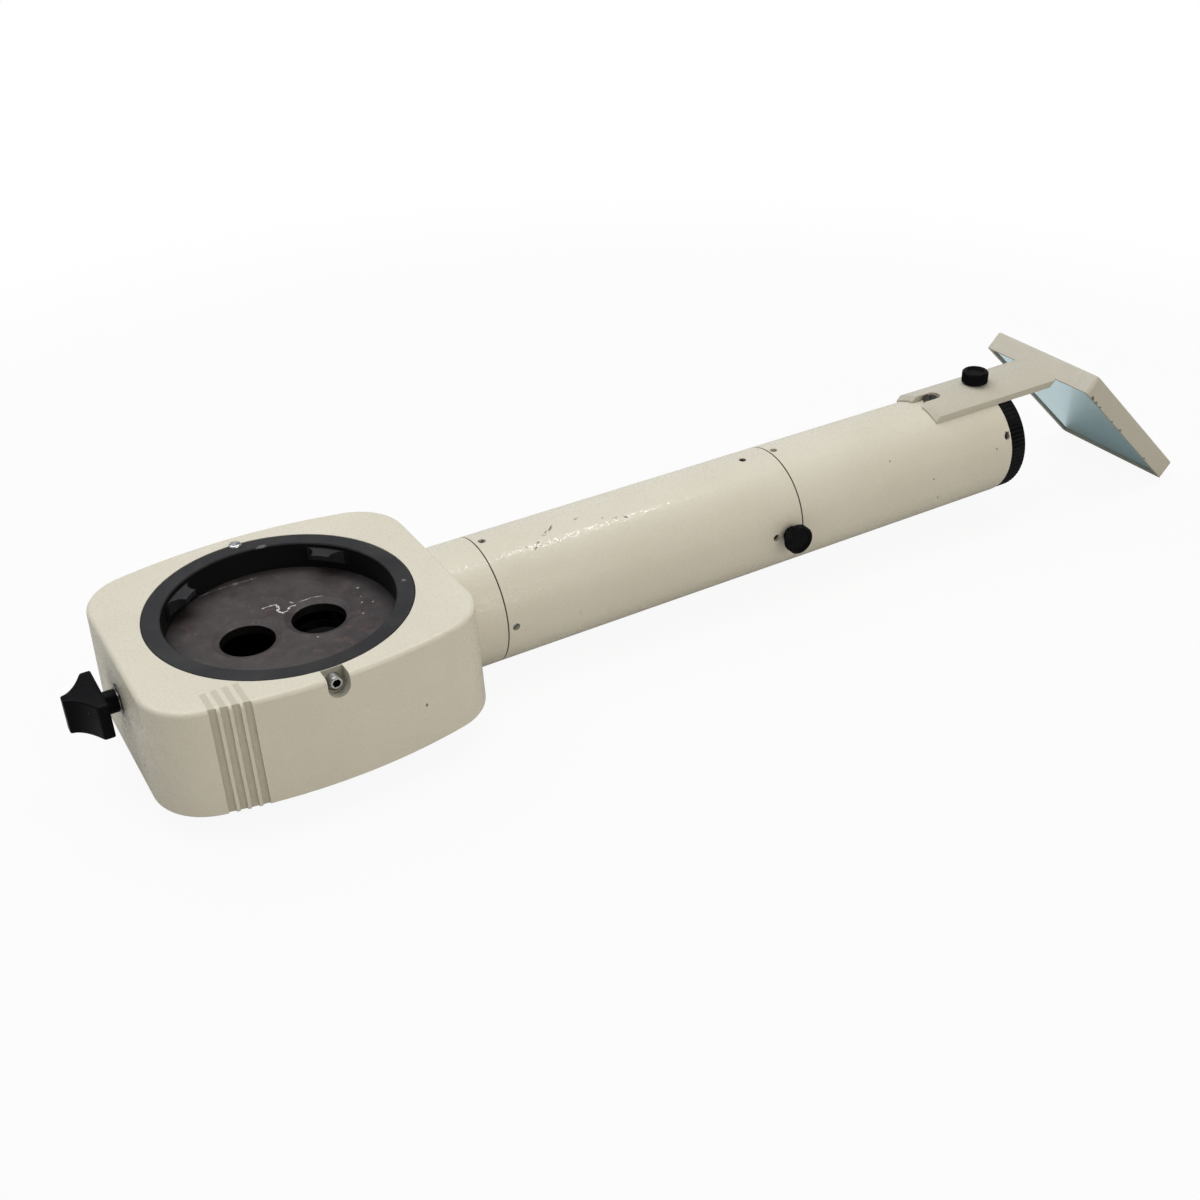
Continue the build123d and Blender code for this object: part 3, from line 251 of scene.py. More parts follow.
# ---- effects that several finishes share


# sprayed paint: fine peel bumps, slow colour drift and uneven gloss
def makePeelGroup():
    tree, start, end = newGroup(
        "paintPeel",
        [("Grain", "Float", 900.0), ("Drift", "Float", 16.0)],
        [("Height", "Float"), ("Tone", "Float"), ("Gloss", "Float")],
    )
    where = objectPlace(tree)
    fine = noise(tree, where, start.outputs["Grain"], 2.0, 0.45)
    coarse = noise(tree, where, calc(tree, "MULTIPLY", start.outputs["Grain"], 0.42), 1.0, 0.4)
    height = calc(tree, "ADD", fine.outputs[0], calc(tree, "MULTIPLY", coarse.outputs[0], 0.8))
    drift = noise(tree, where, start.outputs["Drift"], 4.0, 0.55)
    gloss = noise(tree, where, calc(tree, "MULTIPLY", start.outputs["Drift"], 5.0), 3.0, 0.5)
    feed(tree, end.inputs["Height"], height)
    feed(tree, end.inputs["Tone"], remap(tree, drift.outputs[0], 0.3, 0.7))
    feed(tree, end.inputs["Gloss"], remap(tree, gloss.outputs[0], 0.3, 0.7))
    return tree


# one ragged chip: distance from a point, bent by noise, cut at a radius
def makeChipGroup():
    tree, start, end = newGroup(
        "chipSpot",
        [("Spot", "Vector", (0.0, 0.0, 0.0)), ("Radius", "Float", 0.001),
         ("Stretch", "Vector", (1.0, 1.0, 1.0))],
        [("Mask", "Float")],
    )
    where = objectPlace(tree)
    bend = noise(tree, where, 1400.0, 3.0, 0.6)
    offset = vecCalc(tree, "SUBTRACT", where, start.outputs["Spot"])
    offset = vecCalc(tree, "DIVIDE", offset, start.outputs["Stretch"])
    away = vecCalc(tree, "LENGTH", offset)
    ragged = remap(tree, bend.outputs[0], 0.25, 0.75, 0.45, 1.45)
    away = calc(tree, "DIVIDE", away, calc(tree, "MULTIPLY", ragged, start.outputs["Radius"]))
    feed(tree, end.inputs["Mask"], remap(tree, away, 1.08, 0.92))
    return tree


# one scratch: distance from the run between two points, thinner at its ends and broken by noise
def makeStrokeGroup():
    tree, start, end = newGroup(
        "scratchStroke",
        [("From", "Vector", (0.0, 0.0, 0.0)), ("To", "Vector", (0.001, 0.0, 0.0)),
         ("Width", "Float", 0.0004)],
        [("Mask", "Float")],
    )
    where = objectPlace(tree)
    width = start.outputs["Width"]
    shake = noise(tree, where, 1300.0, 3.0, 0.6).outputs["Color"]
    shake = vecCalc(tree, "SUBTRACT", shake, (0.5, 0.5, 0.5))
    where = vecCalc(tree, "ADD", where, vecScale(tree, shake, calc(tree, "MULTIPLY", width, 2.2)))
    run = vecCalc(tree, "SUBTRACT", start.outputs["To"], start.outputs["From"])
    offset = vecCalc(tree, "SUBTRACT", where, start.outputs["From"])
    share = calc(tree, "DIVIDE", vecCalc(tree, "DOT_PRODUCT", offset, run),
                 vecCalc(tree, "DOT_PRODUCT", run, run))
    share = calc(tree, "MINIMUM", calc(tree, "MAXIMUM", share, 0.0), 1.0)
    away = vecCalc(tree, "DISTANCE", offset, vecScale(tree, run, share))
    fromMiddle = calc(tree, "ABSOLUTE", calc(tree, "SUBTRACT", share, 0.5))
    taper = calc(tree, "SUBTRACT", 0.62, calc(tree, "MULTIPLY", fromMiddle, 0.7))
    half = calc(tree, "MULTIPLY", width, taper)
    line = remap(tree, calc(tree, "DIVIDE", away, half), 1.05, 0.65)
    broken = remap(tree, noise(tree, where, 1900.0, 3.0, 0.6).outputs[0], 0.36, 0.46)
    feed(tree, end.inputs["Mask"], calc(tree, "MULTIPLY", line, broken))
    return tree


# edges rubbed by handling: where a rounded normal departs from the true one
def makeRubGroup():
    tree, start, end = newGroup(
        "rubbedEdge",
        [("Reach", "Float", 0.0006), ("Share", "Float", 0.5)],
        [("Mask", "Float")],
    )
    rounded = place(tree, "ShaderNodeBevel", samples=6)
    feed(tree, rounded.inputs["Radius"], start.outputs["Reach"])
    straight = place(tree, "ShaderNodeNewGeometry").outputs["Normal"]
    turn = calc(tree, "SUBTRACT", 1.0, vecCalc(tree, "DOT_PRODUCT", rounded.outputs[0], straight))
    where = objectPlace(tree)
    broken = remap(tree, noise(tree, where, 260.0, 5.0, 0.62).outputs[0], 0.35, 0.68)
    level = calc(tree, "MULTIPLY", remap(tree, turn, 0.02, 0.16), broken)
    edge = calc(tree, "SUBTRACT", 1.0, start.outputs["Share"])
    mask = remap(tree, level, edge, calc(tree, "ADD", edge, 0.22))
    feed(tree, end.inputs["Mask"], mask)
    return tree


# turned finish: fine rings round an axis; Across is 1 in the two directions square to it
def makeTurnedGroup():
    tree, start, end = newGroup(
        "turnedRings",
        [("Centre", "Vector", (0.0, 0.0, 0.0)), ("Across", "Vector", (1.0, 1.0, 0.0)),
         ("Pitch", "Float", 0.0003)],
        [("Height", "Float"), ("Streak", "Float")],
    )
    where = vecCalc(tree, "SUBTRACT", objectPlace(tree), start.outputs["Centre"])
    radius = vecCalc(tree, "LENGTH", vecCalc(tree, "MULTIPLY", where, start.outputs["Across"]))
    turns = calc(tree, "DIVIDE", radius, start.outputs["Pitch"])
    wave = calc(tree, "SINE", calc(tree, "MULTIPLY", turns, 2 * pi))
    band = place(tree, "ShaderNodeTexNoise", noise_dimensions="1D")
    feed(tree, band.inputs["W"], radius)
    feed(tree, band.inputs["Scale"], 2600.0)
    feed(tree, band.inputs["Detail"], 3.0)
    height = calc(tree, "ADD", calc(tree, "MULTIPLY", wave, 0.3), band.outputs[0])
    feed(tree, end.inputs["Height"], height)
    feed(tree, end.inputs["Streak"], remap(tree, band.outputs[0], 0.3, 0.7))
    return tree


# hair scratches: noise drawn out along one direction and cut to thin lines
def makeScratchGroup():
    tree, start, end = newGroup(
        "hairScratches",
        [("Turn", "Float", 0.6), ("Size", "Float", 220.0), ("Share", "Float", 0.3)],
        [("Mask", "Float")],
    )
    where = objectPlace(tree)
    masks = []
    for extra, squeeze in ((0.0, 26.0), (1.1, 18.0), (2.3, 34.0)):
        turned = place(tree, "ShaderNodeVectorRotate", rotation_type="Z_AXIS")
        feed(tree, turned.inputs["Vector"], where)
        feed(tree, turned.inputs["Angle"], calc(tree, "ADD", start.outputs["Turn"], extra))
        drawn = vecCalc(tree, "MULTIPLY", turned.outputs[0], (1.0, squeeze, 1.0))
        field = noise(tree, drawn, start.outputs["Size"], 1.0, 0.4, 0.2)
        off = calc(tree, "ABSOLUTE", calc(tree, "SUBTRACT", field.outputs[0], 0.5))
        line = remap(tree, off, 0.012, 0.0)
        wide = calc(tree, "MULTIPLY", start.outputs["Size"], 0.35)
        gate = noise(tree, turned.outputs[0], wide, 2.0).outputs[0]
        level = calc(tree, "SUBTRACT", 0.75, calc(tree, "MULTIPLY", start.outputs["Share"], 0.4))
        gate = remap(tree, gate, level, calc(tree, "ADD", level, 0.05))
        masks.append(calc(tree, "MULTIPLY", line, gate))
    feed(tree, end.inputs["Mask"], largest(tree, masks))
    return tree


# dust that settles on faces that look up, in soft patches and single specks
def makeDustGroup():
    tree, start, end = newGroup(
        "settledDust", [("Amount", "Float", 0.3)], [("Mask", "Float"), ("Specks", "Float")]
    )
    where = objectPlace(tree)
    normal = place(tree, "ShaderNodeNewGeometry").outputs["Normal"]
    upward = remap(tree, vecCalc(tree, "DOT_PRODUCT", normal, (0.0, 0.0, 1.0)), 0.1, 0.95)
    patch = remap(tree, noise(tree, where, 45.0, 5.0, 0.65).outputs[0], 0.42, 0.72)
    film = calc(tree, "MULTIPLY", calc(tree, "MULTIPLY", upward, patch), start.outputs["Amount"])
    cells = place(tree, "ShaderNodeTexVoronoi")
    feed(tree, cells.inputs["Vector"], where)
    feed(tree, cells.inputs["Scale"], 420.0)
    rare = calc(tree, "GREATER_THAN", noise(tree, where, 300.0, 1.0).outputs[0], 0.60)
    speck = calc(tree, "MULTIPLY", remap(tree, cells.outputs["Distance"], 0.16, 0.06), rare)
    feed(tree, end.inputs["Mask"], film)
    feed(tree, end.inputs["Specks"], calc(tree, "MULTIPLY", speck, start.outputs["Amount"]))
    return tree


effects = {
    "peel": makePeelGroup(),
    "chip": makeChipGroup(),
    "stroke": makeStrokeGroup(),
    "rub": makeRubGroup(),
    "turned": makeTurnedGroup(),
    "scratch": makeScratchGroup(),
    "dust": makeDustGroup(),
}
print("shared effects built:", len(effects))


# ---- finishes


def startMaterial(name, **constants):
    material = bpy.data.materials.new(name)
    material.use_nodes = True
    tree = material.node_tree
    shader = tree.nodes["Principled BSDF"]
    for title, value in constants.items():
        shader.inputs[title.replace("_", " ")].default_value = value
    return material, tree, shader


# spots: point, radius and, where a chip is long, its stretch
def chipMask(tree, spots):
    masks = []
    for point, radius, *more in spots:
        stretch = more[0] if more else (1.0, 1.0, 1.0)
        one = useGroup(tree, effects["chip"], Spot=point, Radius=radius, Stretch=stretch)
        masks.append(one.outputs["Mask"])
    return largest(tree, masks)


# strokes: first point, last point, width and how plain they show
def strokeMask(tree, strokes):
    masks = []
    for first, last, width, depth in strokes:
        one = useGroup(tree, effects["stroke"], From=first, To=last, Width=width)
        masks.append(calc(tree, "MULTIPLY", one.outputs["Mask"], depth))
    return largest(tree, masks)


def rubMask(tree, share, reach):
    return useGroup(tree, effects["rub"], Share=share, Reach=reach).outputs["Mask"]


paintSetup = {
    "color": (0.612, 0.574, 0.478),
    "shade": (0.575, 0.534, 0.436),
    "primer": (0.055, 0.050, 0.045),
    "bareMetal": (0.26, 0.25, 0.235),
    "dust": (0.46, 0.43, 0.37),
    "dustAmount": 0.10,
    "dustRoughness": 0.3,
    "roughness": (0.42, 0.54),
    "shine": 0.2,
    "coatRoughness": 0.2,
    "sparkle": (0.48, 0.64, 0.0, 0.9),   # noise from, noise to, coat from, coat to
    "sparkleGrain": 1300.0,
    "grain": 1400.0,
    "peelDepth": 0.00009,
    "chipDepth": 0.00008,
    "rubReach": 0.0005,
    "chipGrain": 900.0,
}

# marks on the body: painted shade in the front's grooves, the black line on the end face, and the
# grey-green bare metal of the recess round the clamp screw, darkened further by painted shade
bodyMarks = {
    "firstGroove": -0.03665,
    "groovePitch": 0.0033,
    "grooveCount": 4,
    "grooveEdge": (0.00110, 0.00080),   # distance from a groove's middle where the painted shade starts, is full
    "frontFace": -0.035,
    # painted shade in the grooves' bottoms
    "grooveShade": (0.40, 0.365, 0.285),
    "grooveShadeShare": 0.6,
    "lineHeight": 0.0237,
    "lineHalf": 0.00026,
    "lineEnds": (0.001, 0.012),
    "endFace": -0.053,
    "lineColor": (0.035, 0.033, 0.03),
    "recessAxis": 0.0420,
    "recessHalf": 0.00353,
    "recessFace": -0.0425,
    # the recess: grey-green bare metal, made darker still by painted shade
    "recessMetalAndShade": (0.33, 0.325, 0.265),
}

# dark joints round the tube, where its sections meet
seamSetup = {"places": (0.0685, 0.1895), "edge": (0.00030, 0.00021), "color": (0.085, 0.075, 0.06)}


def seamMask(tree, setup):
    x = axes(tree, objectPlace(tree))[0]
    away = [calc(tree, "ABSOLUTE", calc(tree, "SUBTRACT", x, middle)) for middle in setup["places"]]
    return remap(tree, calc(tree, "MINIMUM", *away), *setup["edge"])


# masks of the grooves, of the line and of the recess, which is a slot with a round bottom
def bodyMarkMasks(tree, setup):
    x, y, z = axes(tree, objectPlace(tree))
    pitch = setup["groovePitch"]
    steps = calc(tree, "DIVIDE", calc(tree, "SUBTRACT", x, setup["firstGroove"]), pitch)
    whole = calc(tree, "ROUND", steps)
    off = calc(tree, "ABSOLUTE", calc(tree, "SUBTRACT", steps, whole))
    off = calc(tree, "MULTIPLY", off, pitch)
    groove = product(
        tree, remap(tree, off, *setup["grooveEdge"]),
        between(tree, whole, -0.5, setup["grooveCount"] - 0.5),
        calc(tree, "LESS_THAN", y, setup["frontFace"]))
    height = calc(tree, "ABSOLUTE", calc(tree, "SUBTRACT", z, setup["lineHeight"]))
    line = product(
        tree, calc(tree, "LESS_THAN", height, setup["lineHalf"]),
        calc(tree, "LESS_THAN", x, setup["endFace"]), between(tree, y, *setup["lineEnds"]))
    below = calc(tree, "MINIMUM", calc(tree, "SUBTRACT", z, setup["recessAxis"]), 0.0)
    around = calc(tree, "ADD", calc(tree, "POWER", x, 2.0), calc(tree, "POWER", below, 2.0))
    recess = product(
        tree, calc(tree, "LESS_THAN", calc(tree, "SQRT", around), setup["recessHalf"]),
        calc(tree, "LESS_THAN", y, setup["recessFace"]))
    return groove, line, recess


# cream machine paint with chips down to the primer; its coat comes and goes with a fine noise,
# which breaks a lamp's highlight into sparkles
def makePaint(name, spots=(), strokes=(), rub=0.12, marks=None, level=1.0):
    setup = paintSetup
    material, tree, shader = startMaterial(
        name, Specular_IOR_Level=setup["shine"], Coat_Roughness=setup["coatRoughness"])
    where = objectPlace(tree)
    peel = useGroup(tree, effects["peel"], Grain=setup["grain"])
    dark, pale = (tuple(level * part for part in setup[key]) for key in ("shade", "color"))
    color = mixColor(tree, peel.outputs["Tone"], dark, pale)
    film = useGroup(tree, effects["dust"], Amount=setup["dustAmount"]).outputs["Mask"]
    color = layer(tree, color, setup["dust"], film)
    if marks:
        groove, line, recess = bodyMarkMasks(tree, marks)
        # painted shade in the front's grooves
        color = layer(tree, color, marks["grooveShade"], groove, marks["grooveShadeShare"])
        # the recess: bare grey-green metal, darkened further by painted shade
        color = layer(tree, color, marks["recessMetalAndShade"], recess)
        color = layer(tree, color, marks["lineColor"], line)
    edge = rubMask(tree, rub, setup["rubReach"])
    mask = largest(tree, [chipMask(tree, spots), strokeMask(tree, strokes), edge])
    inner = remap(tree, noise(tree, where, setup["chipGrain"], 3.0).outputs[0], 0.42, 0.6)
    color = layer(tree, color, mixColor(tree, inner, setup["primer"], setup["bareMetal"]), mask)
    color = layer(tree, color, seamSetup["color"], seamMask(tree, seamSetup))
    glints = noise(tree, where, setup["sparkleGrain"], 2.0, 0.5).outputs[0]
    rough = remap(tree, peel.outputs["Gloss"], 0.0, 1.0, *setup["roughness"])
    rough = calc(tree, "ADD", rough, calc(tree, "MULTIPLY", film, setup["dustRoughness"]))
    normal = bumped(tree, peel.outputs["Height"], setup["peelDepth"])
    normal = bumped(tree, calc(tree, "SUBTRACT", 1.0, mask), setup["chipDepth"], under=normal)
    feed(tree, shader.inputs["Base Color"], color)
    feed(tree, shader.inputs["Roughness"], rough)
    feed(tree, shader.inputs["Coat Weight"], remap(tree, glints, *setup["sparkle"]))
    feed(tree, shader.inputs["Normal"], normal)
    return material


ringSetup = {
    "color": (0.0165, 0.0160, 0.0172),
    "streakLift": 1.4,
    "streakShare": 0.5,
    "worn": (0.13, 0.125, 0.12),
    "scratchShare": 0.35,
    "dust": (0.09, 0.086, 0.08),
    "specks": (0.25, 0.24, 0.22),
    "dustAmount": 0.22,
    "dustRoughness": 0.35,
    "bore": {"radii": (0.0365, 0.0371), "top": 0.0450, "color": (0.005, 0.005, 0.0055)},
    "roughness": (0.34, 0.46),
    "pitch": 0.00035,
    "turnedDepth": 0.000012,
    "rubReach": 0.0004,
    "spots": [((0.0386, -0.0096, 0.0455), 0.0007), ((0.0072, 0.0366, 0.0453), 0.0009, (1.8, 1.0, 1.0))],
}
focusColor = (0.002, 0.002, 0.0024)


def awayFromZ(tree, where):
    return vecCalc(tree, "LENGTH", vecCalc(tree, "MULTIPLY", where, (1.0, 1.0, 0.0)))


# wall of the ring's bore, below its top edge, darkened as if in shadow
def insideBore(tree, bore):
    where = objectPlace(tree)
    wall = between(tree, awayFromZ(tree, where), *bore["radii"])
    return product(tree, wall, calc(tree, "LESS_THAN", axes(tree, where)[2], bore["top"]))


# black anodised and turned metal
def makeBlackMetal(name, color, spots=(), across=(1.0, 1.0, 0.0), centre=(0.0, 0.0, 0.0),
                   rub=0.3, shine=0.17, bore=None):
    setup = ringSetup
    material, tree, shader = startMaterial(name, IOR=1.5, Specular_IOR_Level=shine)
    turned = useGroup(tree, effects["turned"], Across=across, Centre=centre, Pitch=setup["pitch"])
    streak = turned.outputs["Streak"]
    scratch = useGroup(tree, effects["scratch"], Share=0.25, Size=150.0).outputs["Mask"]
    film = useGroup(tree, effects["dust"], Amount=setup["dustAmount"])
    pale = tuple(setup["streakLift"] * part for part in color)
    base = layer(tree, color, pale, streak, setup["streakShare"])
    worn = largest(tree, [chipMask(tree, spots), rubMask(tree, rub, setup["rubReach"])])
    base = layer(tree, base, setup["worn"], scratch, setup["scratchShare"])
    base = layer(tree, base, setup["worn"], worn)
    base = layer(tree, base, setup["dust"], film.outputs["Mask"])
    base = layer(tree, base, setup["specks"], film.outputs["Specks"])
    if bore:
        base = layer(tree, base, bore["color"], insideBore(tree, bore))
    rough = remap(tree, streak, 0.0, 1.0, *setup["roughness"])
    dull = calc(tree, "MULTIPLY", film.outputs["Mask"], setup["dustRoughness"])
    feed(tree, shader.inputs["Base Color"], base)
    feed(tree, shader.inputs["Roughness"], calc(tree, "ADD", rough, dull))
    feed(tree, shader.inputs["Normal"], bumped(tree, turned.outputs["Height"], setup["turnedDepth"]))
    return material


# runs are scuffs through points in the seat's plane, with their width and how plain they show
seatSetup = {
    "color": (0.064, 0.052, 0.051),
    "dark": (0.034, 0.0285, 0.0285),
    "rubbed": (0.120, 0.104, 0.100),
    "scuff": (0.62, 0.60, 0.57),
    "warm": (0.105, 0.062, 0.055),
    "wallShade": (0.0300, 0.0372, 0.0, 0.75),   # painted shade, darker towards the ring's wall: radius from, radius to, share from, share to
    "wallShadeColor": (0.012, 0.011, 0.011),
    "holeShadeDepth": 0.0012,   # below this the holes' walls get painted shade, near black
    "holeShade": (0.006, 0.006, 0.006),
    "stain": (0.115, 0.125, 0.105),
    "grease": (0.11, 0.10, 0.095),
    "dust": (0.34, 0.32, 0.29),
    "shares": {"blotch": 0.30, "streak": 0.12, "scratch": 0.35, "fine": 0.55, "rusty": 0.8,
               "edge": 0.4, "stain": 0.8, "specks": 0.5},
    "roughness": (0.36, 0.58),
    "shine": 0.2,
    "pitch": 0.0004,
    "turnedDepth": 0.000015,
    "height": 0.0362,
    "runs": [
        ([(-0.0022, 0.0139), (-0.0001, 0.0141), (0.0027, 0.0139)], 0.00055, 0.9),
        ([(0.0027, 0.0139), (0.0027, 0.0110), (0.0015, 0.0100), (0.0030, 0.0074)], 0.00085, 1.0),
        ([(0.0030, 0.0081), (0.0046, 0.0082), (0.0060, 0.0101), (0.0084, 0.0102)], 0.00060, 0.9),
        ([(0.0068, 0.0130), (0.0078, 0.0117)], 0.00050, 0.8),
        ([(0.0097, 0.0112), (0.0143, 0.0116), (0.0177, 0.0105)], 0.00040, 0.65),
        ([(-0.0172, 0.0325), (-0.0120, 0.0335), (-0.0068, 0.0338), (0.0031, 0.0335)], 0.00045, 0.30),
    ],
    "spots": [((-0.0043, 0.0336, 0.0362), 0.0011), ((0.0015, 0.0336, 0.0362), 0.0006)],
    "specks": [((0.0269, -0.0003, 0.0362), 0.00035), ((0.0246, -0.0068, 0.0362), 0.0004),
               ((0.0292, 0.0087, 0.0362), 0.00045), ((0.0071, -0.0115, 0.0362), 0.00035),
               ((0.0300, -0.0020, 0.0362), 0.0003), ((0.0281, 0.0032, 0.0362), 0.0003)],
}


def seatStrokes(setup):
    height = setup["height"]
    return [((*first, height), (*last, height), width, depth)
            for points, width, depth in setup["runs"]
            for first, last in zip(points[:-1], points[1:])]


# the seat plate: worn black on turned metal, with greasy patches and scuffs, painted shade darker
# towards the ring's wall and painted shade on its holes' walls
def makeSeatFinish(name):
    setup = seatSetup
    shares = setup["shares"]
    material, tree, shader = startMaterial(name, IOR=1.5, Specular_IOR_Level=setup["shine"])
    where = objectPlace(tree)
    turned = useGroup(tree, effects["turned"], Pitch=setup["pitch"])
    scratch = useGroup(tree, effects["scratch"], Share=0.75, Size=95.0, Turn=0.35).outputs["Mask"]
    film = useGroup(tree, effects["dust"], Amount=0.25)
    patch = remap(tree, noise(tree, where, 55.0, 6.0, 0.62, 0.4).outputs[0], 0.36, 0.66)
    blotch = remap(tree, noise(tree, where, 190.0, 4.0, 0.6).outputs[0], 0.45, 0.75)
    fine = remap(tree, noise(tree, where, 620.0, 5.0, 0.7).outputs[0], 0.30, 0.72)
    rusty = remap(tree, noise(tree, where, 310.0, 4.0, 0.65, 0.5).outputs[0], 0.56, 0.70)
    onTop = calc(tree, "GREATER_THAN", axes(tree, where)[2], setup["height"] - setup["holeShadeDepth"])
    scuff = calc(tree, "MULTIPLY", strokeMask(tree, seatStrokes(setup)), onTop)
    specks = calc(tree, "MULTIPLY", chipMask(tree, setup["specks"]), shares["specks"])
    # mask of painted shade, darker towards the ring's wall
    wall = remap(tree, awayFromZ(tree, where), *setup["wallShade"], smooth=True)
    base = mixColor(tree, patch, setup["dark"], setup["color"])
    base = layer(tree, base, setup["rubbed"], blotch, shares["blotch"])
    base = layer(tree, base, setup["rubbed"], turned.outputs["Streak"], shares["streak"])
    base = layer(tree, base, setup["rubbed"], scratch, shares["scratch"])
    base = layer(tree, base, setup["dark"], fine, shares["fine"])
    base = layer(tree, base, setup["warm"], rusty, shares["rusty"])
    base = layer(tree, base, setup["rubbed"], rubMask(tree, 0.55, 0.0005), shares["edge"])
    # painted shade towards the ring's wall
    base = layer(tree, base, setup["wallShadeColor"], wall)
    base = layer(tree, base, setup["stain"], chipMask(tree, setup["spots"]), shares["stain"])
    base = layer(tree, base, setup["scuff"], calc(tree, "MAXIMUM", scuff, specks))
    base = layer(tree, base, setup["grease"], film.outputs["Mask"])
    base = layer(tree, base, setup["dust"], film.outputs["Specks"])
    # painted shade, near black, on the holes' walls below the top
    base = mixColor(tree, onTop, setup["holeShade"], base)
    feed(tree, shader.inputs["Base Color"], base)
    feed(tree, shader.inputs["Roughness"], remap(tree, patch, 0.0, 1.0, *setup["roughness"]))
    feed(tree, shader.inputs["Normal"], bumped(tree, turned.outputs["Height"], setup["turnedDepth"]))
    return material


steelSetup = {
    "pitch": 0.00012,
    "turnedDepth": 0.000006,
    "dull": 0.55,
    "stainShare": 0.55,
    "clamp": (0.66, 0.645, 0.62),
    # the clamp screw's socket, darkened as if in shadow: radius, height of its axis, y of its mouth
    "socket": (0.00142, 0.042, -0.04648),
    "socketColor": (0.012, 0.012, 0.012),
    "grub": (0.30, 0.30, 0.27),
    "pin": (0.66, 0.65, 0.63),
    "inner": (0.5, 0.49, 0.47),
    "screw": (0.105, 0.10, 0.095),
    "brass": (0.62, 0.45, 0.19),
}


# bare metal with turning marks round one axis
def makeSteel(name, color, across, centre, roughness=(0.2, 0.36), socket=None):
    setup = steelSetup
    material, tree, shader = startMaterial(name, Metallic=1.0)
    turned = useGroup(tree, effects["turned"], Across=across, Centre=centre, Pitch=setup["pitch"])
    where = objectPlace(tree)
    stain = remap(tree, noise(tree, where, 700.0, 4.0, 0.6).outputs[0], 0.35, 0.7)
    dull = tuple(setup["dull"] * part for part in color)
    base = layer(tree, color, dull, stain, setup["stainShare"])
    if socket:
        radius, height, mouth = socket
        off = vecCalc(tree, "SUBTRACT", where, (0.0, 0.0, height))
        off = vecCalc(tree, "LENGTH", vecCalc(tree, "MULTIPLY", off, (1.0, 0.0, 1.0)))
        deep = product(tree, calc(tree, "LESS_THAN", off, radius),
                       calc(tree, "GREATER_THAN", axes(tree, where)[1], mouth))
        base = layer(tree, base, setup["socketColor"], deep)
    feed(tree, shader.inputs["Base Color"], base)
    feed(tree, shader.inputs["Roughness"], remap(tree, stain, 0.0, 1.0, *roughness))
    feed(tree, shader.inputs["Normal"], bumped(tree, turned.outputs["Height"], setup["turnedDepth"]))
    return material


plasticSetup = {
    "color": (0.0034, 0.0033, 0.0038),
    "worn": (0.055, 0.050, 0.048),
    "wornShare": 0.5,
    "dust": (0.06, 0.057, 0.054),
    "dustShare": 0.3,
    "specks": (0.25, 0.24, 0.22),
    "roughness": (0.26, 0.40),
    "shine": 0.045,
    "grain": 3200.0,
    "grainDepth": 0.00002,
}


# moulded black plastic with a fine grain, fingerprints and specks of dust
def makePlastic(name, setup):
    material, tree, shader = startMaterial(name, IOR=1.48, Specular_IOR_Level=setup["shine"])
    where = objectPlace(tree)
    grain = noise(tree, where, setup["grain"], 2.0, 0.5).outputs[0]
    smear = remap(tree, noise(tree, where, 240.0, 4.0, 0.55, 0.6).outputs[0], 0.38, 0.66)
    film = useGroup(tree, effects["dust"], Amount=0.25)
    base = layer(tree, setup["color"], setup["worn"], rubMask(tree, 0.4, 0.0004), setup["wornShare"])
    base = layer(tree, base, setup["dust"], film.outputs["Mask"], setup["dustShare"])
    base = layer(tree, base, setup["specks"], film.outputs["Specks"])
    feed(tree, shader.inputs["Base Color"], base)
    feed(tree, shader.inputs["Roughness"], remap(tree, smear, 0.0, 1.0, *setup["roughness"]))
    feed(tree, shader.inputs["Normal"], bumped(tree, grain, setup["grainDepth"]))
    return material


dullSetup = {
    "blackening": (0.006, 0.006, 0.0065),
    "rubber": (0.03, 0.028, 0.026),
    "lift": 1.8,
    "roughness": (0.62, 0.8),
    "grainDepth": 0.00002,
}


# dull inner blackening, and the pad's rubber
def makeInnerBlack(name, color):
    setup = dullSetup
    material, tree, shader = startMaterial(name, IOR=1.4, Specular_IOR_Level=0.25)
    where = objectPlace(tree)
    cloud = remap(tree, noise(tree, where, 120.0, 4.0, 0.6).outputs[0], 0.35, 0.7)
    grain = noise(tree, where, 2600.0, 1.0).outputs[0]
    pale = tuple(setup["lift"] * part for part in color)
    feed(tree, shader.inputs["Base Color"], mixColor(tree, cloud, color, pale))
    feed(tree, shader.inputs["Roughness"], remap(tree, cloud, 0.0, 1.0, *setup["roughness"]))
    feed(tree, shader.inputs["Normal"], bumped(tree, grain, setup["grainDepth"]))
    return material


# the tint agrees with the photograph's one angle and is bluer than a real mirror's
mirrorSetup = {
    "color": (0.64, 0.90, 0.97),
    "smeared": (0.60, 0.82, 0.88),
    "smearShare": 0.35,
    "specks": (0.5, 0.5, 0.5),
    "roughness": (0.09, 0.15),
}


# front-silvered glass with smears and dust
def makeMirrorFinish(name, setup):
    material, tree, shader = startMaterial(name, Metallic=1.0)
    where = objectPlace(tree)
    smear = remap(tree, noise(tree, where, 60.0, 5.0, 0.6, 0.8).outputs[0], 0.45, 0.75)
    film = useGroup(tree, effects["dust"], Amount=0.2)
    color = layer(tree, setup["color"], setup["smeared"], smear, setup["smearShare"])
    color = layer(tree, color, setup["specks"], film.outputs["Specks"])
    feed(tree, shader.inputs["Base Color"], color)
    feed(tree, shader.inputs["Roughness"], remap(tree, smear, 0.0, 1.0, *setup["roughness"]))
    return material


# the prisms' glass is nearly black as painted shade, so that the light holes look dark; real prisms are
# clear
glassSetup = {
    "lens": {"clear": (0.93, 0.97, 0.96), "hazy": (0.88, 0.93, 0.92), "shine": 0.5},
    "prism": {"clear": (0.012, 0.014, 0.016), "hazy": (0.010, 0.012, 0.013), "shine": 0.03},
}


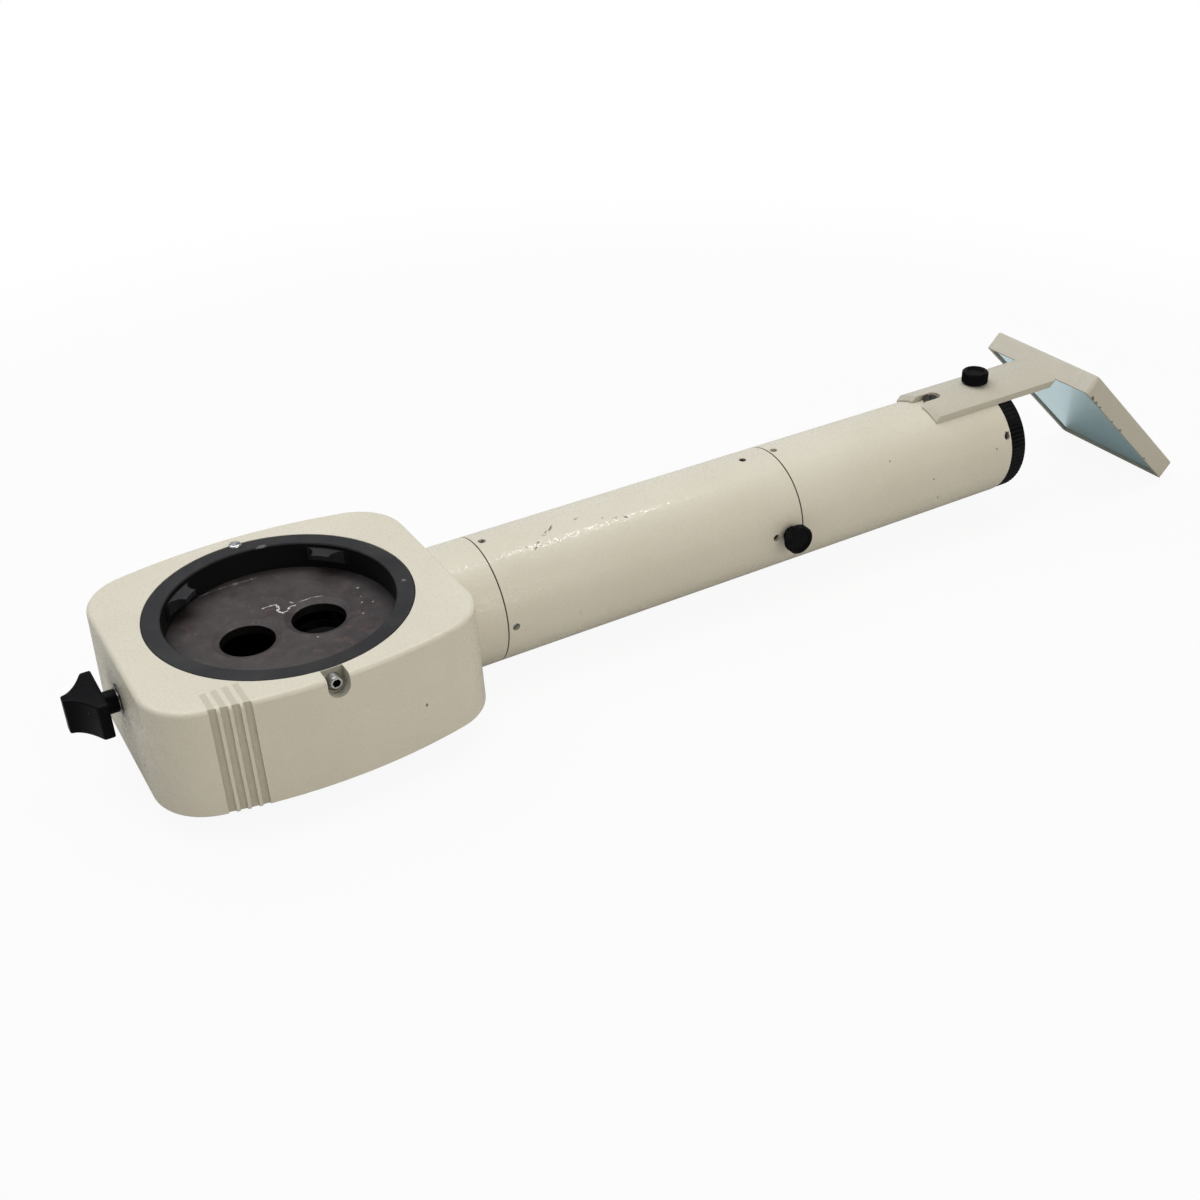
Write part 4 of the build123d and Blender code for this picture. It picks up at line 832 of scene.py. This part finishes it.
def makeGlass(name, setup):
    material, tree, shader = startMaterial(
        name, Transmission_Weight=1.0, IOR=1.52, Specular_IOR_Level=setup["shine"])
    haze = remap(tree, noise(tree, objectPlace(tree), 90.0, 4.0, 0.6).outputs[0], 0.4, 0.8)
    feed(tree, shader.inputs["Base Color"], mixColor(tree, haze, setup["clear"], setup["hazy"]))
    feed(tree, shader.inputs["Roughness"], remap(tree, haze, 0.0, 1.0, 0.0, 0.03))
    return material


chips = {
    "housing": [
        ((0.0272, -0.0470, 0.0236), 0.0005),
        ((-0.0542, -0.0215, 0.0180), 0.0006),
        ((-0.0030, 0.0375, 0.0455), 0.0004),
    ],
    "fixedTube": [
        ((0.1221, -0.0094, 0.0427), 0.0005, (1.2, 1.0, 1.0)),
        ((0.1143, -0.0070, 0.0436), 0.0003),
    ],
    "outerTube": [
        ((0.2326, -0.0176, 0.0360), 0.00035),
        ((0.2554, -0.0210, 0.0153), 0.00045),
        ((0.2514, -0.0221, 0.0248), 0.00035),
        ((0.2834, -0.0214, 0.0283), 0.0004),
        ((0.2896, -0.0196, 0.0318), 0.0011, (1.0, 1.0, 1.5)),
    ],
    "tray": [
        ((0.3252, -0.0280, 0.0411), 0.0009, (1.0, 0.8, 1.4)),
        ((0.3277, -0.0280, 0.0385), 0.0009),
        ((0.3304, -0.0280, 0.0359), 0.0007),
        ((0.3388, -0.0280, 0.0274), 0.0006),
        ((0.3442, -0.0280, 0.0220), 0.0009, (1.0, 0.8, 1.0)),
        ((0.3620, -0.0280, 0.0042), 0.0007),
        ((0.3274, -0.0280, 0.0495), 0.0005),
    ],
}

# scratches: first point, last point, width, how plain they show
scratches = {
    "fixedTube": [
        ((0.0859, -0.0105, 0.0421), (0.0885, -0.0085, 0.0431), 0.00095, 1.0),
        ((0.0940, -0.0055, 0.0441), (0.0963, -0.0036, 0.0445), 0.00085, 1.0),
        ((0.0922, -0.0062, 0.0439), (0.0935, -0.0047, 0.0442), 0.00055, 0.8),
        ((0.0905, -0.0061, 0.0439), (0.0922, -0.0069, 0.0437), 0.00045, 0.55),
        ((0.1046, -0.0041, 0.0444), (0.1068, -0.0034, 0.0445), 0.00070, 0.7),
        ((0.1175, -0.0085, 0.0431), (0.1193, -0.0084, 0.0431), 0.00120, 0.35),
        ((0.1214, -0.0086, 0.0430), (0.1229, -0.0103, 0.0422), 0.00065, 0.7),
        ((0.0832, -0.0089, 0.0429), (0.0837, -0.0095, 0.0426), 0.00070, 0.5),
        ((0.0960, -0.0221, 0.0207), (0.0962, -0.0218, 0.0182), 0.00060, 0.3),
    ],
}

tubeAxis = (0.0, 0.0, 0.02255)
origin = (0.0, 0.0, 0.0)
aroundX = (0.0, 1.0, 1.0)
aroundY = (1.0, 0.0, 1.0)
aroundZ = (1.0, 1.0, 0.0)
aroundPoint = (1.0, 1.0, 1.0)
steel = steelSetup
finishes = {
    "bodyPaint": makePaint("bodyPaint", chips["housing"], marks=bodyMarks),
    "innerTubePaint": makePaint("innerTubePaint", chips["fixedTube"], scratches["fixedTube"]),
    "outerTubePaint": makePaint("outerTubePaint", chips["outerTube"]),
    # the holder's paint is the body's paint made 20% darker
    "trayPaint": makePaint("trayPaint", chips["tray"], rub=0.2, level=0.80),
    "ringBlack": makeBlackMetal(
        "ringBlack", ringSetup["color"], ringSetup["spots"], bore=ringSetup["bore"]),
    "focusBlack": makeBlackMetal(
        "focusBlack", focusColor, across=aroundX, centre=tubeAxis, rub=0.12, shine=0.07),
    "seatBlack": makeSeatFinish("seatBlack"),
    "clampSteel": makeSteel(
        "clampSteel", steel["clamp"], aroundY, (0.0, 0.0, 0.042), (0.34, 0.5), steel["socket"]),
    "grubSteel": makeSteel("grubSteel", steel["grub"], aroundPoint, origin, (0.35, 0.5)),
    "pinSteel": makeSteel("pinSteel", steel["pin"], aroundZ, (0.0, 0.0422, 0.0)),
    "innerSteel": makeSteel("innerSteel", steel["inner"], aroundX, tubeAxis, (0.3, 0.45)),
    "screwBlack": makeSteel("screwBlack", steel["screw"], aroundPoint, origin, (0.35, 0.5)),
    "brassTurned": makeSteel("brassTurned", steel["brass"], aroundX, (0.0, 0.0, 0.0292), (0.22, 0.38)),
    "knobPlastic": makePlastic("knobPlastic", plasticSetup),
    "innerBlack": makeInnerBlack("innerBlack", dullSetup["blackening"]),
    "padRubber": makeInnerBlack("padRubber", dullSetup["rubber"]),
    "mirrorSilver": makeMirrorFinish("mirrorSilver", mirrorSetup),
    "coatedGlass": makeGlass("coatedGlass", glassSetup["lens"]),
    "prismGlass": makeGlass("prismGlass", glassSetup["prism"]),
}

finishOf = {
    "bodyPaint": ["housing"],
    "innerTubePaint": ["fixed_tube"],
    "outerTubePaint": ["outer_tube"],
    "trayPaint": ["mirror_holder"],
    "ringBlack": ["seat_ring"],
    "focusBlack": ["focus_ring", "end_ring"],
    "seatBlack": ["seat_plate"],
    "clampSteel": ["clamp_screw"],
    "pinSteel": ["index_pin"],
    "innerSteel": [
        "bottom_screws", "knob_shaft", "gear_clip", "rack_screws", "carriage_guide_screws",
        "bracket_screws", "tube_thumb_stud", "arm_thumb_stud", "sleeve_snap_ring", "focus_pin",
    ],
    "screwBlack": [
        "shaft_bush", "seat_screws", "foot_screws", "knob_set_screw", "collar_grub_screws",
        "sleeve_screws", "barrel_screws", "arm_guide_screw",
    ],
    "grubSteel": ["neck_grub_screws"],
    "brassTurned": ["drive_gear", "carriage_rack"],
    "knobPlastic": ["path_knob", "tube_thumb_knob", "arm_thumb_knob"],
    "innerBlack": [
        "bottom_plate", "foot_dovetail", "prism_carriage", "prism_bracket", "field_lens_ring",
        "clamp_collar", "turning_sleeve", "end_barrel", "lens_cell", "lens_ring",
    ],
    "padRubber": ["mirror_pad"],
    "mirrorSilver": ["mirror"],
    "coatedGlass": ["field_lens", "objective_lens"],
    "prismGlass": ["beam_splitter", "compensator_glass"],
}


def dressPart(name, material):
    thing = parts[name]
    if not thing.material_slots:
        thing.data.materials.append(material)
    for slot in thing.material_slots:
        slot.material = material


for finish, names in finishOf.items():
    for name in names:
        dressPart(name, finishes[finish])
print("finishes set:", len(finishes))


# ---- pieces that replace plainer solids


# rows of points round a closed outline, from one pole to the other: whole array (row, point, xyz)
def closedRows(rows):
    rowCount, around = rows.shape[:2]
    inner = rows[1:-1].reshape(-1, 3)
    points = np.vstack([rows[:1, 0], inner, rows[-1:, 0]])
    u = np.arange(around)
    after = (u + 1) % around
    first = (1 + np.arange(rowCount - 3)[:, None] * around)
    quads = np.stack([first + u, first + after, first + around + after, first + around + u], axis=-1)
    quads = quads.reshape(-1, 4)
    lastRow = 1 + (rowCount - 3) * around
    pole = len(points) - 1
    caps = np.vstack([
        np.column_stack([np.zeros_like(u), after + 1, u + 1]),
        np.column_stack([lastRow + u, lastRow + after, np.full_like(u, pole)]),
    ])
    return points, quads.tolist() + caps.tolist()


def addShells(name, shells, material, body, slot, *nodes):
    points, faces, start = [], [], 0
    for shellPoints, shellFaces in shells:
        points.append(shellPoints)
        faces += [[start + corner for corner in face] for face in shellFaces]
        start += len(shellPoints)
    mesh = bpy.data.meshes.new(name)
    mesh.from_pydata(np.vstack(points).tolist(), [], faces)
    mesh.validate()
    mesh.shade_smooth()
    mesh.set_sharp_from_angle(angle=radians(38))
    mesh.materials.append(material)
    piece = bpy.data.objects.new(name, mesh)
    scene.collection.objects.link(piece)
    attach(piece, body)
    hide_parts(*nodes)


# path-change knob: a wing with hollow flanks and rounded lobes on a slim boss
knobSetup = {
    "lobeThickness": 0.0034,
    "ridgeHalf": 0.0019,
    "bossReach": 0.0042,
    "flankPower": 1.9,
    "cornerBlur": 0.00042,
    "height": 0.0120,
    "lift": 0.0004,
    "edgeRound": 0.00055,
    "crown": 0.00012,
    "bossRadius": 0.0037,
    "axisHeight": 0.0292,
}


# plan outline: straight back and lobe ends, flanks that follow (1 - q)^power, evenly
# resampled and then blurred along the outline, which rounds its corners
def knobOutline(setup, back, front, wing, count=360):
    step = back - setup["lobeThickness"]
    q = np.linspace(0.0, 1.0, 160)
    flankX = step + (front - step) * q
    flankY = setup["ridgeHalf"] + (wing - setup["ridgeHalf"]) * (1.0 - q) ** setup["flankPower"]
    half = np.vstack([[[back, 0.0], [back, wing]], np.column_stack([flankX, flankY]), [[front, 0.0]]])
    loop = np.vstack([half, (half * (1.0, -1.0))[::-1][1:]])
    run = np.concatenate([[0.0], np.cumsum(np.hypot(*np.diff(loop, axis=0).T))])
    even = np.linspace(0.0, run[-1], count, endpoint=False)
    loop = np.column_stack([np.interp(even, run, loop[:, 0]), np.interp(even, run, loop[:, 1])])
    waves = np.fft.fftfreq(count, run[-1] / count)
    damp = np.exp(-2.0 * (pi * waves * setup["cornerBlur"]) ** 2)[:, None]
    loop = np.fft.ifft(np.fft.fft(loop, axis=0) * damp, axis=0).real
    along = np.roll(loop, -1, axis=0) - np.roll(loop, 1, axis=0)
    along /= np.linalg.norm(along, axis=1)[:, None]
    return loop, np.column_stack([along[:, 1], -along[:, 0]])


# the outline is drawn in by r(1 - sin a) and lifted by r(1 - cos a) at its upper and lower
# edges, and shrinks towards one point on the two faces
def knobWing(setup, back, front, wing):
    loop, outward = knobOutline(setup, back, front, wing)
    turn = np.linspace(0.0, pi / 2, 7)
    shrink = np.linspace(0.0, 1.0, 6)[:-1]
    radius = setup["edgeRound"]
    inset = np.concatenate([np.full(5, radius), radius * (1 - np.sin(turn))])
    scale = np.concatenate([shrink, np.ones(7)])
    rise = np.concatenate([-setup["crown"] * (1 - shrink ** 2), radius * (1 - np.cos(turn))])
    half = setup["height"] / 2
    inset = np.concatenate([inset, inset[::-1]])
    scale = np.concatenate([scale, scale[::-1]])
    level = np.concatenate([rise - half, (half - rise)[::-1]]) + setup["axisHeight"] + setup["lift"]
    middle = np.array([back - setup["lobeThickness"] / 2, 0.0])
    plan = middle + scale[:, None, None] * (loop - outward * inset[:, None, None] - middle)
    rows = np.concatenate([plan, np.broadcast_to(level[:, None, None], (*plan.shape[:2], 1))], axis=2)
    return closedRows(rows)


# a profile of (along, radius) pairs turned round a line parallel to X
def turnedRows(profile, height, around=64):
    along, radius = np.array(profile).T
    angle = np.linspace(0.0, 2 * pi, around, endpoint=False)
    x = np.broadcast_to(along[:, None], (len(along), around))
    y, z = radius[:, None] * np.cos(angle), height + radius[:, None] * np.sin(angle)
    return closedRows(np.stack([x, y, z], axis=-1))


def addKnob(setup):
    low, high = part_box("path_knob")
    wallSide = high[0]
    back = wallSide - setup["bossReach"]
    front, wing = low[0], high[1]
    r = setup["bossRadius"]
    boss = turnedRows([(back - 0.001, 0.0), (back - 0.001, r), (wallSide - 0.0003, r),
                       (wallSide, r - 0.0003), (wallSide, 0.0)], setup["axisHeight"])
    addShells("pathKnobWing", [knobWing(setup, back, front, wing), boss], finishes["knobPlastic"],
              "knob", "black_plastic", "path_knob", "knob_set_screw")


# head clamp screw: threaded rod with a hexagon socket in its outer end
clampSetup = {
    "pitch": 0.0007,
    "threadDepth": 0.00032,
    "radius": 0.00200,
    "rowsPerTurn": 12,
    "around": 72,
    "rim": 0.00025,
    "hexAcross": 0.0024,
    "hexDepth": 0.0020,
    "tipLength": 0.0014,
    "tipRadius": 0.0010,
    "height": 0.0420,
}


# thread: radius = R - depth * |2 frac(y / pitch - angle / 2 pi) - 1|, fading at both ends
def addClampScrew(setup):
    low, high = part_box("clamp_screw")
    outer, tip = low[1], high[1]
    neck = tip - setup["tipLength"]
    angle = np.linspace(0.0, 2 * pi, setup["around"], endpoint=False)
    y = np.arange(outer + setup["rim"], neck, setup["pitch"] / setup["rowsPerTurn"])
    phase = (y[:, None] / setup["pitch"] - angle / (2 * pi)) % 1.0
    fade = np.clip(np.minimum(y - y[0], y[-1] - y) / setup["pitch"], 0.0, 1.0)[:, None]
    thread = setup["radius"] - setup["threadDepth"] * np.abs(2 * phase - 1) * fade
    hexagon = setup["hexAcross"] / 2 / np.cos((angle + pi / 6) % (pi / 3) - pi / 6)
    flat = np.ones_like(angle)
    floorY = outer + setup["hexDepth"]
    radii = np.vstack([
        0 * flat, hexagon * 0.98, hexagon, hexagon + 0.00008, flat * (setup["radius"] - setup["rim"]),
        thread, flat * (setup["radius"] - setup["threadDepth"]), flat * setup["tipRadius"], 0 * flat])
    places = np.concatenate([[floorY, floorY, outer + 0.0001, outer, outer], y, [neck, tip, tip]])
    rows = np.stack([radii * np.sin(angle), np.broadcast_to(places[:, None], radii.shape),
                     setup["height"] + radii * np.cos(angle)], axis=-1)
    addShells("clampScrewThread", [closedRows(rows)], finishes["clampSteel"],
              "clamp", "bright_steel", "clamp_screw")


addKnob(knobSetup)
addClampScrew(clampSetup)
print("knob and clamp screw modelled")


# ---- floor, light and camera


def blendShaders(tree, share, first, second):
    blend = place(tree, "ShaderNodeMixShader")
    feed(tree, blend.inputs[0], share)
    feed(tree, blend.inputs[1], first.outputs[0])
    feed(tree, blend.inputs[2], second.outputs[0])
    return blend


def addFloor(setup):
    (x0, z0), (x1, z1) = setup["footPoint"], setup["mirrorPoint"]
    slope = (z1 - z0) / (x1 - x0)
    size = setup["halfSize"]
    xs = (-size, size, size, -size)
    ys = (-size, -size, size, size)
    corners = [(x, y, z0 + slope * (x - x0) - setup["gap"]) for x, y in zip(xs, ys)]
    mesh = bpy.data.meshes.new("studioFloor")
    mesh.from_pydata(corners, [], [(0, 1, 2, 3)])
    floor = bpy.data.objects.new("studioFloor", mesh)
    scene.collection.objects.link(floor)
    material, tree, shader = startMaterial(
        "studioFloorPaint", Base_Color=(*setup["color"], 1.0),
        Roughness=setup["roughness"], Specular_IOR_Level=setup["shine"])
    white = place(tree, "ShaderNodeEmission")
    white.inputs["Strength"].default_value = 1.0
    rays = place(tree, "ShaderNodeLightPath")
    glassRay = calc(tree, "MAXIMUM", rays.outputs["Is Glossy Ray"], rays.outputs["Is Transmission Ray"])
    away = vecCalc(tree, "DISTANCE", objectPlace(tree), setup["middle"])
    (near, nearShare), (far, farShare) = setup["nearWhite"], setup["farWhite"]
    seen = remap(tree, away, near, far, nearShare, farShare, smooth=True)
    share = calc(tree, "MAXIMUM",
                 calc(tree, "MULTIPLY", rays.outputs["Is Camera Ray"], seen),
                 calc(tree, "MULTIPLY", glassRay, setup["glossWhiteShare"]))
    blend = blendShaders(tree, share, shader, white)
    feed(tree, tree.nodes["Material Output"].inputs["Surface"], blend.outputs[0])
    mesh.materials.append(material)


# polished faces see the white backdrop low down and a dim room above it
def addSky(setup):
    world = scene.world or bpy.data.worlds.new("studioSky")
    scene.world = world
    world.use_nodes = True
    tree = world.node_tree
    tree.nodes.clear()
    soft = place(tree, "ShaderNodeBackground")
    soft.inputs["Color"].default_value = (*setup["skyColor"], 1.0)
    soft.inputs["Strength"].default_value = setup["skyStrength"]
    white = place(tree, "ShaderNodeBackground")
    white.inputs["Strength"].default_value = 1.0
    ceiling = place(tree, "ShaderNodeBackground")
    ceiling.inputs["Color"].default_value = (*setup["ceiling"], 1.0)
    height = axes(tree, place(tree, "ShaderNodeTexCoord").outputs["Generated"])[2]
    low, high = setup["backdropTop"]
    room = blendShaders(tree, remap(tree, height, low, high, 1.0, 0.0, smooth=True), ceiling, white)
    rays = place(tree, "ShaderNodeLightPath")
    lit = blendShaders(tree, rays.outputs["Is Glossy Ray"], soft, room)
    seen = calc(tree, "MAXIMUM", rays.outputs["Is Camera Ray"], rays.outputs["Is Transmission Ray"])
    end = place(tree, "ShaderNodeOutputWorld")
    feed(tree, end.inputs["Surface"], blendShaders(tree, seen, lit, white).outputs[0])


addFloor(floorSetup)
addSky(lightSetup)
for lampName, lampSetup in lightSetup["lamps"].items():
    addAreaLight(lampName, lampSetup, lightSetup["lampTarget"])
addCamera(cameraSetup)
scene.view_settings.view_transform = "Standard"
print("stage, light and camera ready")
